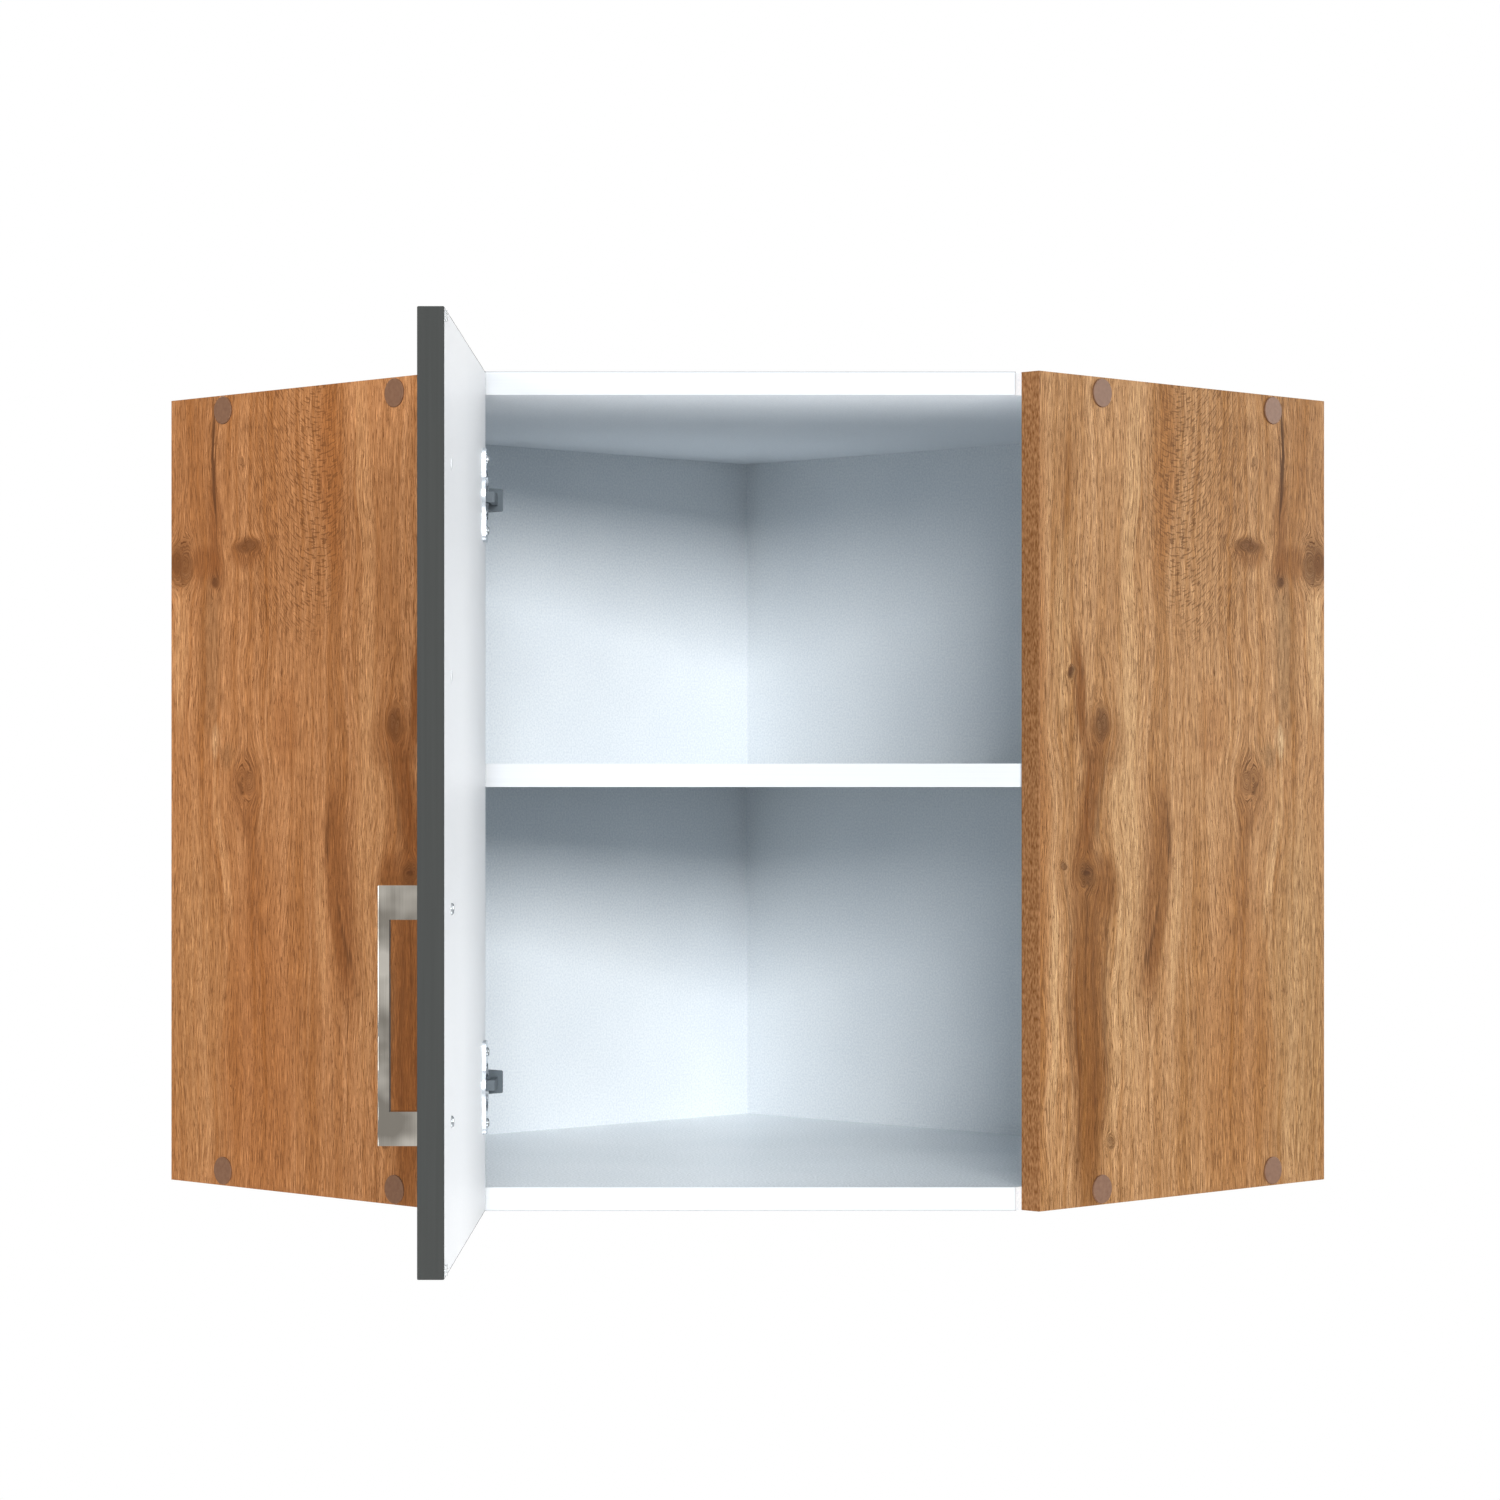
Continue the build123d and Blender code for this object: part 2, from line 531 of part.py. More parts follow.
# Cups let into the door, each with two cheeks that hold the pin, a leaf spring and two screws
pins = []
springs = []
cup_screws = []
for end, level in hinge_levels.items():
    centre = (cup_centre, 0, level)
    flange_u = cup_centre + FLANGE_SHIFT
    flange = block(
        (flange_u - FLANGE_WIDTH / 2, 0, level - flange_tall / 2),
        (flange_u + FLANGE_WIDTH / 2, FLANGE_THICK, level + flange_tall / 2),
    )
    flange = eased(flange, Axis.Y, FLANGE_ROUND)
    flange = flange + rod(centre, (0, 1, 0), CUP_RADIUS + FLANGE_RIM, FLANGE_THICK)
    cup = rod(centre, inward, CUP_RADIUS, cup_depth) + flange
    mouth = (cup_centre, FLANGE_THICK, level)
    cup = cup - rod(mouth, inward, cup_inside, FLANGE_THICK + cup_depth - CUP_WALL)
    wall = rod(centre, inward, cup_inside + CUP_WALL / 2, cup_depth - CUP_WALL / 2)
    for way in (-1, 1):
        near = level + way * (EYE_TALL / 2 + CHEEK_GAP)
        far = near + way * CHEEK_THICK
        cheek = block(
            (0, -cup_depth, min(near, far)),
            (pin_from_edge + CHEEK_REACH, -CHEEK_DROP, max(near, far)),
        )
        cup = cup + (cheek & wall)
    pin_half = EYE_TALL / 2 + CHEEK_GAP + CHEEK_THICK
    pin_low = (pin_from_edge, -pin_depth, level - pin_half)
    cup = cup - rod(pin_low, (0, 0, 1), PIN_RADIUS + SCREW_FIT, 2 * pin_half)
    for shift in (-CUP_SCREW_SPREAD, CUP_SCREW_SPREAD):
        seat = (cup_screw_u, FLANGE_THICK, level + shift)
        head = (CUP_SCREW_HEAD_RADIUS, CUP_SCREW_HEAD)
        cup = cup - rod(seat, inward, CUP_SCREW_RADIUS + SCREW_FIT, FLANGE_THICK)
        cup_screws.append(on_door * pan_head(seat, inward, CUP_SCREW_RADIUS, *head, CUP_SCREW_LENGTH))
    write(f"hinge_cup_{end}", on_door * cup)
    pins.append(on_door * rod(pin_low, (0, 0, 1), PIN_RADIUS, 2 * pin_half))
    spring_far = cup_centre + sqrt(cup_inside**2 - (SPRING_WIDTH / 2) ** 2)
    floor = -cup_depth + CUP_WALL
    spring = block(
        (pin_from_edge + CHEEK_REACH, floor, level - SPRING_WIDTH / 2),
        (spring_far, floor + SPRING_THICK, level + SPRING_WIDTH / 2),
    )
    spring = spring + block(
        (spring_far - SPRING_THICK, floor, level - SPRING_WIDTH / 2),
        (spring_far, floor + SPRING_RISE, level + SPRING_WIDTH / 2),
    )
    springs.append(on_door * spring)
write("hinge_pins", *pins)
write("hinge_springs", *springs)
write("cup_screws", *cup_screws)

# Arms: an eye round the pin, a neck and a leg out of the cup, then a channel that stands on the plate
leg_end = 2 * inner_corner - front_half + (ARM_HIGH - ARM_WALL) * sqrt(2) - pin_x - leg_out
for end, level in hinge_levels.items():
    arm_half = ARM_TALL / 2
    hollow_half = arm_half - ARM_WALL
    arm_rear = SIDE_DEPTH - ARM_LENGTH
    channel = block(
        (arm_rear, -inner + ARM_LOW, level - arm_half),
        (SIDE_DEPTH - ARM_START, -inner + ARM_HIGH, level + arm_half),
    )
    channel = eased(channel, Axis.X, ARM_ROUND)
    channel = channel - block(
        (arm_rear, -inner + ARM_LOW, level - hollow_half),
        (SIDE_DEPTH - ARM_NOSE, -inner + ARM_HIGH - ARM_WALL, level + hollow_half),
    )
    leg_front = pin_y - EYE_RADIUS
    outline = [
        (pin_x, leg_front),
        (pin_x + leg_out, leg_front),
        (pin_x + leg_out, leg_end),
        (pin_x + leg_in, leg_end),
        (pin_x + leg_in, pin_y + NECK_BACK),
        (pin_x, pin_y + NECK_BACK),
    ]
    link = eased(prism(outline, level - EYE_TALL / 2, level + EYE_TALL / 2), Axis.Z, ARM_ROUND)
    eye_low = (pin_x, pin_y, level - EYE_TALL / 2)
    link = link + rod(eye_low, (0, 0, 1), EYE_RADIUS, EYE_TALL)
    link = link - rod(eye_low, (0, 0, 1), PIN_RADIUS + RUN_FIT, EYE_TALL)
    write(f"hinge_arm_{end}", minus(channel + front * link, arm_screw_holes))
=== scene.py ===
import math

import bpy
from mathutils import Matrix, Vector


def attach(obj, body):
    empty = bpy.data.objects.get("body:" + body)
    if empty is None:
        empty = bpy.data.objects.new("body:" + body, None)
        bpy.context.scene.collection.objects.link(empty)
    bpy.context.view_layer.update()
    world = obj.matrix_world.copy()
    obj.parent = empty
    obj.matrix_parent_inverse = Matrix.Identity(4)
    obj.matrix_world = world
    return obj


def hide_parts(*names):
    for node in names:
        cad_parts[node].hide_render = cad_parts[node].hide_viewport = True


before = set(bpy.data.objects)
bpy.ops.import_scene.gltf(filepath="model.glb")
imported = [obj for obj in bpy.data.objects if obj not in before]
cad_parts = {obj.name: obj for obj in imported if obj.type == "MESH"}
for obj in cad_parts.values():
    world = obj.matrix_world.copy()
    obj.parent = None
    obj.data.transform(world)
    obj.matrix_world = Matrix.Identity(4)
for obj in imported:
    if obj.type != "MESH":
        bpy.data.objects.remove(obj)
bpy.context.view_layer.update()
scene = bpy.context.scene


# Sides
# The two sides are 16 mm particle board with a decor paper printed as knotty oak on the outer face and
# a white one on the inner face. Both sheets come off the same print, so the left side mirrors the right.
# The sides butt against the walls and carry the other boards; their top, bottom and rear edges are bare.

def linear(code):
    """An sRGB hex colour as the linear colour that a shader reads."""
    parts = [int(code[at:at + 2], 16) / 255 for at in (1, 3, 5)]
    return [p / 12.92 if p <= 0.04045 else ((p + 0.055) / 1.055) ** 2.4 for p in parts] + [1.0]


def add(tree, kind, links=None, **settings):
    """Adds a node with its settings, links or sets its inputs, and gives back its first live output."""
    made = tree.nodes.new(kind)
    for name, value in settings.items():
        setattr(made, name, value)
    for name, value in (links or {}).items():
        live = [socket for socket in made.inputs if socket.enabled and socket.name == name]
        socket = made.inputs[name] if isinstance(name, int) else live[0]
        if isinstance(value, bpy.types.NodeSocket):
            tree.links.new(value, socket)
        else:
            socket.default_value = value
    return next((socket for socket in made.outputs if socket.enabled), None)


def new_finish(name):
    """A new material and its empty node tree."""
    material = bpy.data.materials.new(name)
    material.use_nodes = True
    material.node_tree.nodes.clear()
    return material, material.node_tree


def dress(finish, *nodes):
    """Puts a finish on CAD nodes that stay in sight."""
    for name in nodes:
        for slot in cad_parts[name].material_slots:
            slot.material = finish


# Oak decor paper under melamine resin, pressed against a lightly brushed plate: golden tan with knots,
# darker heartwood, short dark pores and a low sheen that breaks up along the fibres.
METRE = 1000.0  # in millimetres, because pattern and screw sizes are written in them
WALL_LENGTH = 600.0
oak_finish, oak = new_finish("oak_print_melamine_board")
place = add(oak, "ShaderNodeTexCoord").node.outputs["Object"]
# Distance from the wall and height, both in millimetres, are the print's own axes on either side.
from_corner = add(oak, "ShaderNodeVectorMath", {0: place, 1: (METRE, -METRE, 0)}, operation="DOT_PRODUCT")
across = add(oak, "ShaderNodeMath", {0: from_corner, 1: WALL_LENGTH}, operation="SUBTRACT")
rise = add(oak, "ShaderNodeVectorMath", {0: place, 1: (0, 0, METRE)}, operation="DOT_PRODUCT")
sheet = add(oak, "ShaderNodeCombineXYZ", {"X": across, "Y": rise})

# Knots: distance from the wall, height, half width and half height in mm, how far the grain is pushed
# aside, and how dark the knot is.
KNOTS = (
    (12, 452, 14, 17, 1.0, 0.58),
    (53, 438, 5, 5, 1.0, 0.80),
    (90, 463, 14, 5, 0.5, 0.62),
    (82, 525, 3, 4, 1.0, 0.45),
    (254, 333, 8, 12, 1.2, 0.62),
    (270, 229, 8, 9, 1.3, 0.55),
    (270, 229, 3, 3, 0.0, 0.85),
    (286, 368, 4, 5, 1.0, 0.85),
    (294, 235, 4, 3, 1.0, 0.60),
    (244, 43, 5, 6, 1.0, 0.50),
    (88, 294, 10, 12, 1.0, 0.25),
    (82, 288, 3, 4, 0.0, 0.60),
)
# The grain wanders up to 11 mm to either side, over about 55 mm across and 120 mm up, and a knot's outline
# up to 4.5 mm every 11 mm. A small core keeps the push finite at a knot's middle. The stain fades from
# full to the rim, which are squared shares of the knot's half size.
WANDER = 22.0
CROOK = 9.0
KNOT_CORE = 0.4
KNOT_RIM = 2.0
KNOT_FULL = 0.2
KNOT_BROWN = "#442710"
wander_at = add(oak, "ShaderNodeVectorMath", {0: sheet, 1: (1 / 55, 1 / 120, 0)}, operation="MULTIPLY")
wander = add(oak, "ShaderNodeTexNoise", {"Vector": wander_at, "Scale": 1.0, "Detail": 1.0})
pushed = add(oak, "ShaderNodeMath", {0: wander, 1: WANDER, 2: -WANDER / 2}, operation="MULTIPLY_ADD")
crooked = add(oak, "ShaderNodeTexNoise", {"Vector": sheet, "Scale": 1 / 11.1, "Detail": 2.0})
crooked = add(oak, "ShaderNodeVectorMath", {
    0: crooked.node.outputs["Color"], 1: (CROOK, CROOK, 0), 2: (-CROOK / 2, -CROOK / 2, 0),
}, operation="MULTIPLY_ADD")
knot_at = add(oak, "ShaderNodeVectorMath", {0: sheet, 1: crooked}, operation="ADD")
knot_stains = []
for knot_across, knot_rise, half_wide, half_tall, push, dark in KNOTS:
    from_knot = add(oak, "ShaderNodeMapping", {
        "Vector": knot_at, "Location": (knot_across, knot_rise, -KNOT_CORE),
        "Scale": (half_wide, half_tall, 1),
    }, vector_type="TEXTURE")
    reach = add(oak, "ShaderNodeVectorMath", {0: from_knot, 1: from_knot}, operation="DOT_PRODUCT")
    if push:
        aside = add(oak, "ShaderNodeVectorMath", {0: from_knot, 1: (-push * half_wide, 0, 0)},
                    operation="DOT_PRODUCT")
        bent = add(oak, "ShaderNodeMath", {0: aside, 1: reach}, operation="DIVIDE")
        pushed = add(oak, "ShaderNodeMath", {0: pushed, 1: bent}, operation="ADD")
    stain = add(oak, "ShaderNodeMapRange", {
        "Value": reach, "From Min": KNOT_RIM, "From Max": KNOT_FULL, "To Min": 0.0, "To Max": dark,
    }, interpolation_type="SMOOTHSTEP")
    knot_stains.append(stain)
grain = add(oak, "ShaderNodeMath", {0: across, 1: pushed}, operation="ADD")

# Growth bands about 25 mm wide, lines about 5 mm wide, fibres drawn 1.1 mm wide and hair-fine fibres drawn
# 0.45 mm wide, all long up the board. Real fibres are thinner than either. Every noise keeps mostly
# between a dip and a crest.
DIP = 0.3
CREST = 0.7
BAND_SHARE = 0.5
grain_at = add(oak, "ShaderNodeCombineXYZ", {"X": grain, "Y": rise})
tones = []
for wide, tall, detail in ((25, 420, 2.0), (5, 260, 2.0), (1.1, 50, 2.0), (0.45, 15, 1.0)):
    repeats = (1 / wide, 1 / tall, 0)
    scaled = add(oak, "ShaderNodeVectorMath", {0: grain_at, 1: repeats}, operation="MULTIPLY")
    tones.append(add(oak, "ShaderNodeTexNoise", {"Vector": scaled, "Scale": 1.0, "Detail": detail}))
bands, lines, fibres, hairs = tones
line_tone = add(oak, "ShaderNodeMath", {0: lines, 1: 1 - BAND_SHARE}, operation="MULTIPLY")
band_tone = add(oak, "ShaderNodeMath", {0: bands, 1: BAND_SHARE, 2: line_tone}, operation="MULTIPLY_ADD")
print_ramp = add(oak, "ShaderNodeValToRGB", {"Fac": band_tone})
print_ramp.node.color_ramp.elements[0].position = 0.36
print_ramp.node.color_ramp.elements[0].color = linear("#8E6134")
print_ramp.node.color_ramp.elements[1].position = 0.64
print_ramp.node.color_ramp.elements[1].color = linear("#B48B61")
printed = print_ramp

# Streaks: centre across and up, half width and half length in mm, lean of the top away from the wall in
# degrees, bow as a share of the half width, edge, strength and colour. An edge above zero sharpens the
# streak towards the wall, and one below zero softens it towards the room.
HEART = "#72451D"
SAP = "#BD976B"
GREY = "#806241"
RUST = "#8E5928"
CRACK = "#3B2210"
STREAKS = (
    (108, 105, 50, 150, 0, 0.0, 0, 0.42, RUST),
    (28, 130, 40, 160, 0, 0.0, 0, 0.35, "#A3855B"),
    (30, 500, 40, 95, 0, 0.0, 0, 0.30, HEART),
    (46, 385, 17, 66, 0, 0.0, 0, 0.50, GREY),
    (12, 385, 11, 56, 0, 0.3, 0, 0.80, SAP),
    (32, 452, 26, 14, 0, 0.0, 0, 0.60, HEART),
    (50, 472, 11, 46, 0, 0.0, 0, 0.62, HEART),
    (50, 524, 2.6, 66, -2, 0.4, 0, 0.95, CRACK),
    (88, 458, 20, 13, 0, 0.0, 0, 0.62, HEART),
    (130, 330, 16, 42, 0, 0.0, 0, 0.38, RUST),
    (186, 505, 15, 85, -3, 0.2, 0, 0.50, RUST),
    (214, 500, 15, 100, -3, 0.2, 5, 0.70, SAP),
    (288, 505, 9, 40, 0, 0.0, 0, 0.30, HEART),
    (318, 300, 13, 300, 0, 0.0, 0, 0.60, RUST),
    (226, 245, 18, 190, 0, -0.2, 0, 0.80, SAP),
    (187, 218, 8, 86, -7.5, 1.6, -0.72, 0.75, HEART),
    (182, 246, 1.8, 34, 0, 0.4, 0, 0.80, CRACK),
    (200, 182, 1.8, 40, -16, 0.0, 0, 0.70, CRACK),
    (198, 163, 7, 40, -10, 0.0, 0, 0.55, HEART),
    (173, 190, 7, 66, -5, 0.4, 0, 0.60, SAP),
    (243, 110, 9, 80, 0, 0.0, 0, 0.50, SAP),
    (289, 396, 9, 78, 0, 0.0, 0, 0.55, SAP),
    (88, 282, 13, 38, -6, 0.2, 0, 0.55, HEART),
    (98, 225, 11, 55, -4, 0.0, 0, 0.45, HEART),
    (54, 322, 7, 15, 0, 0.0, 0, 0.62, "#CCAD83"),
    (62, 245, 6, 75, -7, 0.0, 0, 0.60, SAP),
    (72, 311, 11, 11, 0, 0.0, 0, 0.55, GREY),
    (274, 352, 8, 50, 5, 0.0, 0, 0.85, HEART),
    (264, 285, 12, 68, -10, 0.3, 0, 0.90, HEART),
    (250, 222, 14, 26, 0, 0.0, 0, 0.68, HEART),
    (237, 320, 13, 24, 0, 0.0, 0, 0.40, HEART),
    (267, 125, 25, 150, 0, 0.1, 0, 0.88, HEART),
    (258, 110, 2.4, 100, 0, 0.3, 0, 0.36, CRACK),
    (280, 70, 2.4, 70, 0, 0.3, 0, 0.40, CRACK),
    (247, 150, 1.8, 110, -1, 0.3, 0, 0.42, CRACK),
    (268, 180, 1.8, 60, 0, 0.3, 0, 0.45, CRACK),
    (253, 283, 2.0, 46, -8, 0.0, 0, 0.55, CRACK),
    (288, 150, 1.8, 90, 0, 0.0, 0, 0.35, CRACK),
    (301, 145, 7, 95, -1, 0.2, 2, 0.70, SAP),
)
# Fibres tear a streak's outline up to 7 mm to either side, and lines make it weaker and stronger. It fades
# from full to the rim as a knot does.
RAGGED = 14.0
STREAK_RIM = 1.3
STREAK_FULL = 0.1
ragged = add(oak, "ShaderNodeMath", {0: fibres, 1: RAGGED, 2: -RAGGED / 2}, operation="MULTIPLY_ADD")
ragged_grain = add(oak, "ShaderNodeMath", {0: grain, 1: ragged}, operation="ADD")
streak_at = add(oak, "ShaderNodeCombineXYZ", {"X": ragged_grain, "Y": rise})
streak_tone = add(oak, "ShaderNodeMapRange", {
    "Value": lines, "From Min": DIP, "From Max": CREST, "To Min": 0.6, "To Max": 1.2,
})
for mid_across, mid_rise, half_wide, half_long, lean, bow, edge, strength, tint in STREAKS:
    from_mid = add(oak, "ShaderNodeMapping", {
        "Vector": streak_at, "Location": (mid_across, mid_rise, 0),
        "Rotation": (0, 0, math.radians(-lean)), "Scale": (half_wide, half_long, 1),
    }, vector_type="TEXTURE")
    parts = add(oak, "ShaderNodeSeparateXYZ", {0: from_mid}).node.outputs
    along = add(oak, "ShaderNodeMath", {0: parts["Y"], 1: parts["Y"]}, operation="MULTIPLY")
    aside = add(oak, "ShaderNodeMath", {0: along, 1: -bow, 2: parts["X"]}, operation="MULTIPLY_ADD")
    if edge:
        kept_half = "MINIMUM" if edge > 0 else "MAXIMUM"
        half = add(oak, "ShaderNodeMath", {0: aside, 1: 0.0}, operation=kept_half)
        aside = add(oak, "ShaderNodeMath", {0: half, 1: edge, 2: aside}, operation="MULTIPLY_ADD")
    reach = add(oak, "ShaderNodeMath", {0: aside, 1: aside, 2: along}, operation="MULTIPLY_ADD")
    share = add(oak, "ShaderNodeMapRange", {
        "Value": reach, "From Min": STREAK_RIM, "From Max": STREAK_FULL, "To Min": 0.0, "To Max": strength,
    }, interpolation_type="SMOOTHSTEP")
    share = add(oak, "ShaderNodeMath", {0: share, 1: streak_tone}, operation="MULTIPLY", use_clamp=True)
    printed = add(oak, "ShaderNodeMix", {
        "Factor": share, "A": printed, "B": linear(tint),
    }, data_type="RGBA")
for stain in knot_stains:
    printed = add(oak, "ShaderNodeMix", {
        "Factor": stain, "A": printed, "B": linear(KNOT_BROWN),
    }, data_type="RGBA")

# Fibres and hairs darken and lighten the whole print, redder where dark and paler where light.
THREAD_DIP = (0.2, 0.2, 0.2)
THREAD_CREST = (0.8, 0.8, 0.8)
for thread, low, high in (
    (fibres, (0.82, 0.78, 0.74), (1.17, 1.21, 1.26)),
    (hairs, (0.31, 0.23, 0.15), (1.69, 1.79, 1.93)),
):
    thread_tone = add(oak, "ShaderNodeMapRange", {
        "Vector": thread, "From Min": THREAD_DIP, "From Max": THREAD_CREST, "To Min": low, "To Max": high,
    }, data_type="FLOAT_VECTOR")
    printed = add(oak, "ShaderNodeVectorMath", {0: printed, 1: thread_tone}, operation="MULTIPLY")

# Fine pores 4 mm long and coarse ones 8 mm long up the grain, and cathedral flecks that bow upwards about
# a line 172 mm from the wall. Each column of pores starts at its own height. The rows give the width and
# length of the marks in mm, the noise that they start at, their strength and their zone.
COLUMN_STAGGER = 90.0
FLECK_LINE = 172.0
FLECK_DROP = 0.014
FLECK_MIDDLE = (136, 495, 0)
FLECK_HALF_SIZE = (76, 120, 1)
FLECK_RIM = 1.2
FLECK_FULL = 0.3
MARK_EDGE = 0.06
PORE_BROWN = "#523115"
column_start = add(oak, "ShaderNodeMath", {0: fibres, 1: COLUMN_STAGGER, 2: rise}, operation="MULTIPLY_ADD")
pore_at = add(oak, "ShaderNodeCombineXYZ", {"X": grain, "Y": column_start})
bow_across = add(oak, "ShaderNodeMath", {0: across, 1: FLECK_LINE}, operation="SUBTRACT")
bow_square = add(oak, "ShaderNodeMath", {0: bow_across, 1: bow_across}, operation="MULTIPLY")
arch = add(oak, "ShaderNodeMath", {0: bow_square, 1: -FLECK_DROP, 2: rise}, operation="MULTIPLY_ADD")
arch_at = add(oak, "ShaderNodeCombineXYZ", {"X": arch, "Y": across})
fleck_zone = add(oak, "ShaderNodeMapping", {
    "Vector": sheet, "Location": FLECK_MIDDLE, "Scale": FLECK_HALF_SIZE,
}, vector_type="TEXTURE")
fleck_reach = add(oak, "ShaderNodeVectorMath", {0: fleck_zone, 1: fleck_zone}, operation="DOT_PRODUCT")
flecked = add(oak, "ShaderNodeMapRange", {
    "Value": fleck_reach, "From Min": FLECK_RIM, "From Max": FLECK_FULL,
}, interpolation_type="SMOOTHSTEP")
for mark_at, wide, long, start, strength, zone in (
    (pore_at, 0.5, 4, 0.61, 0.90, None),
    (pore_at, 0.8, 8, 0.66, 0.90, None),
    (arch_at, 1.5, 6, 0.58, 0.62, flecked),
):
    repeats = (1 / wide, 1 / long, 0)
    scaled = add(oak, "ShaderNodeVectorMath", {0: mark_at, 1: repeats}, operation="MULTIPLY")
    dashes = add(oak, "ShaderNodeTexNoise", {"Vector": scaled, "Scale": 1.0, "Detail": 0.0})
    mark = add(oak, "ShaderNodeMapRange", {
        "Value": dashes, "From Min": start, "From Max": start + MARK_EDGE, "To Max": strength,
    })
    if zone:
        mark = add(oak, "ShaderNodeMath", {0: mark, 1: zone}, operation="MULTIPLY")
    printed = add(oak, "ShaderNodeMix", {
        "Factor": mark, "A": printed, "B": linear(PORE_BROWN),
    }, data_type="RGBA")

# White paper on the inner face, and bare chips where the saw cut through the 16 mm between the faces. The
# papers are drawn 0.4 mm deep, thicker than they are.
BOARD = 16.0
PAPER = 0.4
outer_face = (WALL_LENGTH - PAPER) / METRE
inner_face = (WALL_LENGTH - BOARD + PAPER) / METRE
chip = add(oak, "ShaderNodeTexVoronoi", {"Vector": place, "Scale": METRE / 2.4}, feature="F1")
chip_tone = add(oak, "ShaderNodeSeparateColor", {0: chip.node.outputs["Color"]})
chips = add(oak, "ShaderNodeMix", {
    "Factor": chip_tone, "A": linear("#B28A64"), "B": linear("#DCBA92"),
}, data_type="RGBA")
axes = add(oak, "ShaderNodeSeparateXYZ", {0: place}).node.outputs
out_of_y = add(oak, "ShaderNodeMath", {0: axes["Y"], 1: -1.0}, operation="MULTIPLY")
outward = add(oak, "ShaderNodeMath", {0: axes["X"], 1: out_of_y}, operation="MAXIMUM")
in_core = add(oak, "ShaderNodeMath", {0: outward, 1: outer_face}, operation="LESS_THAN")
on_inside = add(oak, "ShaderNodeMath", {0: outward, 1: inner_face}, operation="LESS_THAN")
# The left sheet is tinted redder and fainter: painted light, for the warmer light that falls on that side.
WARM_LIGHT_TINT = (1.085, 0.90, 0.79)
WARM_LIGHT_FADE = 0.12
on_left = add(oak, "ShaderNodeMath", {0: axes["Y"], 1: -outer_face}, operation="LESS_THAN")
warm_lit = add(oak, "ShaderNodeVectorMath", {0: printed, 1: WARM_LIGHT_TINT}, operation="MULTIPLY")
warm_lit = add(oak, "ShaderNodeMix", {
    "Factor": WARM_LIGHT_FADE, "A": warm_lit, "B": linear("#A07252"),
}, data_type="RGBA")
printed = add(oak, "ShaderNodeMix", {"Factor": on_left, "A": printed, "B": warm_lit}, data_type="RGBA")
faced = add(oak, "ShaderNodeMix", {"Factor": in_core, "A": printed, "B": chips}, data_type="RGBA")
faced = add(oak, "ShaderNodeMix", {
    "Factor": on_inside, "A": faced, "B": linear("#E4EAEF"),
}, data_type="RGBA")
# The plate's brush marks are drawn 1.2 mm wide, coarser than they are, so that they show.
brushed_at = add(oak, "ShaderNodeVectorMath", {0: sheet, 1: (1 / 1.2, 1 / 60, 0)}, operation="MULTIPLY")
brushed = add(oak, "ShaderNodeTexNoise", {"Vector": brushed_at, "Scale": 1.0, "Detail": 1.0})
emboss = add(oak, "ShaderNodeBump", {"Height": brushed, "Strength": 0.25, "Distance": 0.0004})
sheen = add(oak, "ShaderNodeMapRange", {
    "Value": fibres, "From Min": DIP, "From Max": CREST, "To Min": 0.38, "To Max": 0.52,
})
surface = add(oak, "ShaderNodeBsdfPrincipled", {
    "Base Color": faced, "Roughness": sheen, "IOR": 1.5, "Specular IOR Level": 0.03, "Normal": emboss,
})
add(oak, "ShaderNodeOutputMaterial", {"Surface": surface})
dress(oak_finish, "side_panel_left", "side_panel_right")


# Oak edging
# The front edges of the sides are covered with a 1 mm strip of oak-printed paper edging, glued on hot and
# trimmed flush. It is a plainer, darker print than the faces.

# Printed paper edging: short darker flecks about 1.3 mm wide and 4 mm long, and a low sheen.
strip_finish, strip = new_finish("oak_paper_edging")
place = add(strip, "ShaderNodeTexCoord").node.outputs["Object"]
repeats = (METRE / 1.3, METRE / 1.3, METRE / 3.8)
fibre_at = add(strip, "ShaderNodeVectorMath", {0: place, 1: repeats}, operation="MULTIPLY")
fibre = add(strip, "ShaderNodeTexNoise", {"Vector": fibre_at, "Scale": 1.0, "Detail": 2.0})
tone = add(strip, "ShaderNodeValToRGB", {"Fac": fibre})
tone.node.color_ramp.elements[0].position = 0.30
tone.node.color_ramp.elements[0].color = linear("#683E1B")
tone.node.color_ramp.elements[1].position = 0.70
tone.node.color_ramp.elements[1].color = linear("#9C714B")
emboss = add(strip, "ShaderNodeBump", {"Height": fibre, "Strength": 0.2, "Distance": 0.0003})
surface = add(strip, "ShaderNodeBsdfPrincipled", {
    "Base Color": tone, "Roughness": 0.5, "IOR": 1.5, "Specular IOR Level": 0.1, "Normal": emboss,
})
add(strip, "ShaderNodeOutputMaterial", {"Surface": surface})
dress(strip_finish, "side_edge_left", "side_edge_right")


# White boards
# The top, bottom, shelf and two backs are 16 mm white particle board. The first three are sawn to five
# sides, and the backs stand behind them against the two walls.

# White melamine: a cool white paper under clear resin with a fine pearl texture and an even soft gloss.
# The pearl is about 0.8 mm from crest to crest, drawn at 1.6 mm so that it shows.
PEARL = METRE / 1.6
PEARL_SHARE = 0.7
white_finish, white = new_finish("white_melamine_board")
place = add(white, "ShaderNodeTexCoord").node.outputs["Object"]
cloud = add(white, "ShaderNodeTexNoise", {"Vector": place, "Scale": METRE / 110, "Detail": 2.0})
pearl = add(white, "ShaderNodeTexNoise", {"Vector": place, "Scale": PEARL, "Detail": 1.0})
speckle = add(white, "ShaderNodeMix", {"Factor": PEARL_SHARE, "A": cloud, "B": pearl})
tone = add(white, "ShaderNodeValToRGB", {"Fac": speckle})
tone.node.color_ramp.elements[0].position = 0.35
tone.node.color_ramp.elements[0].color = linear("#DBE2E8")
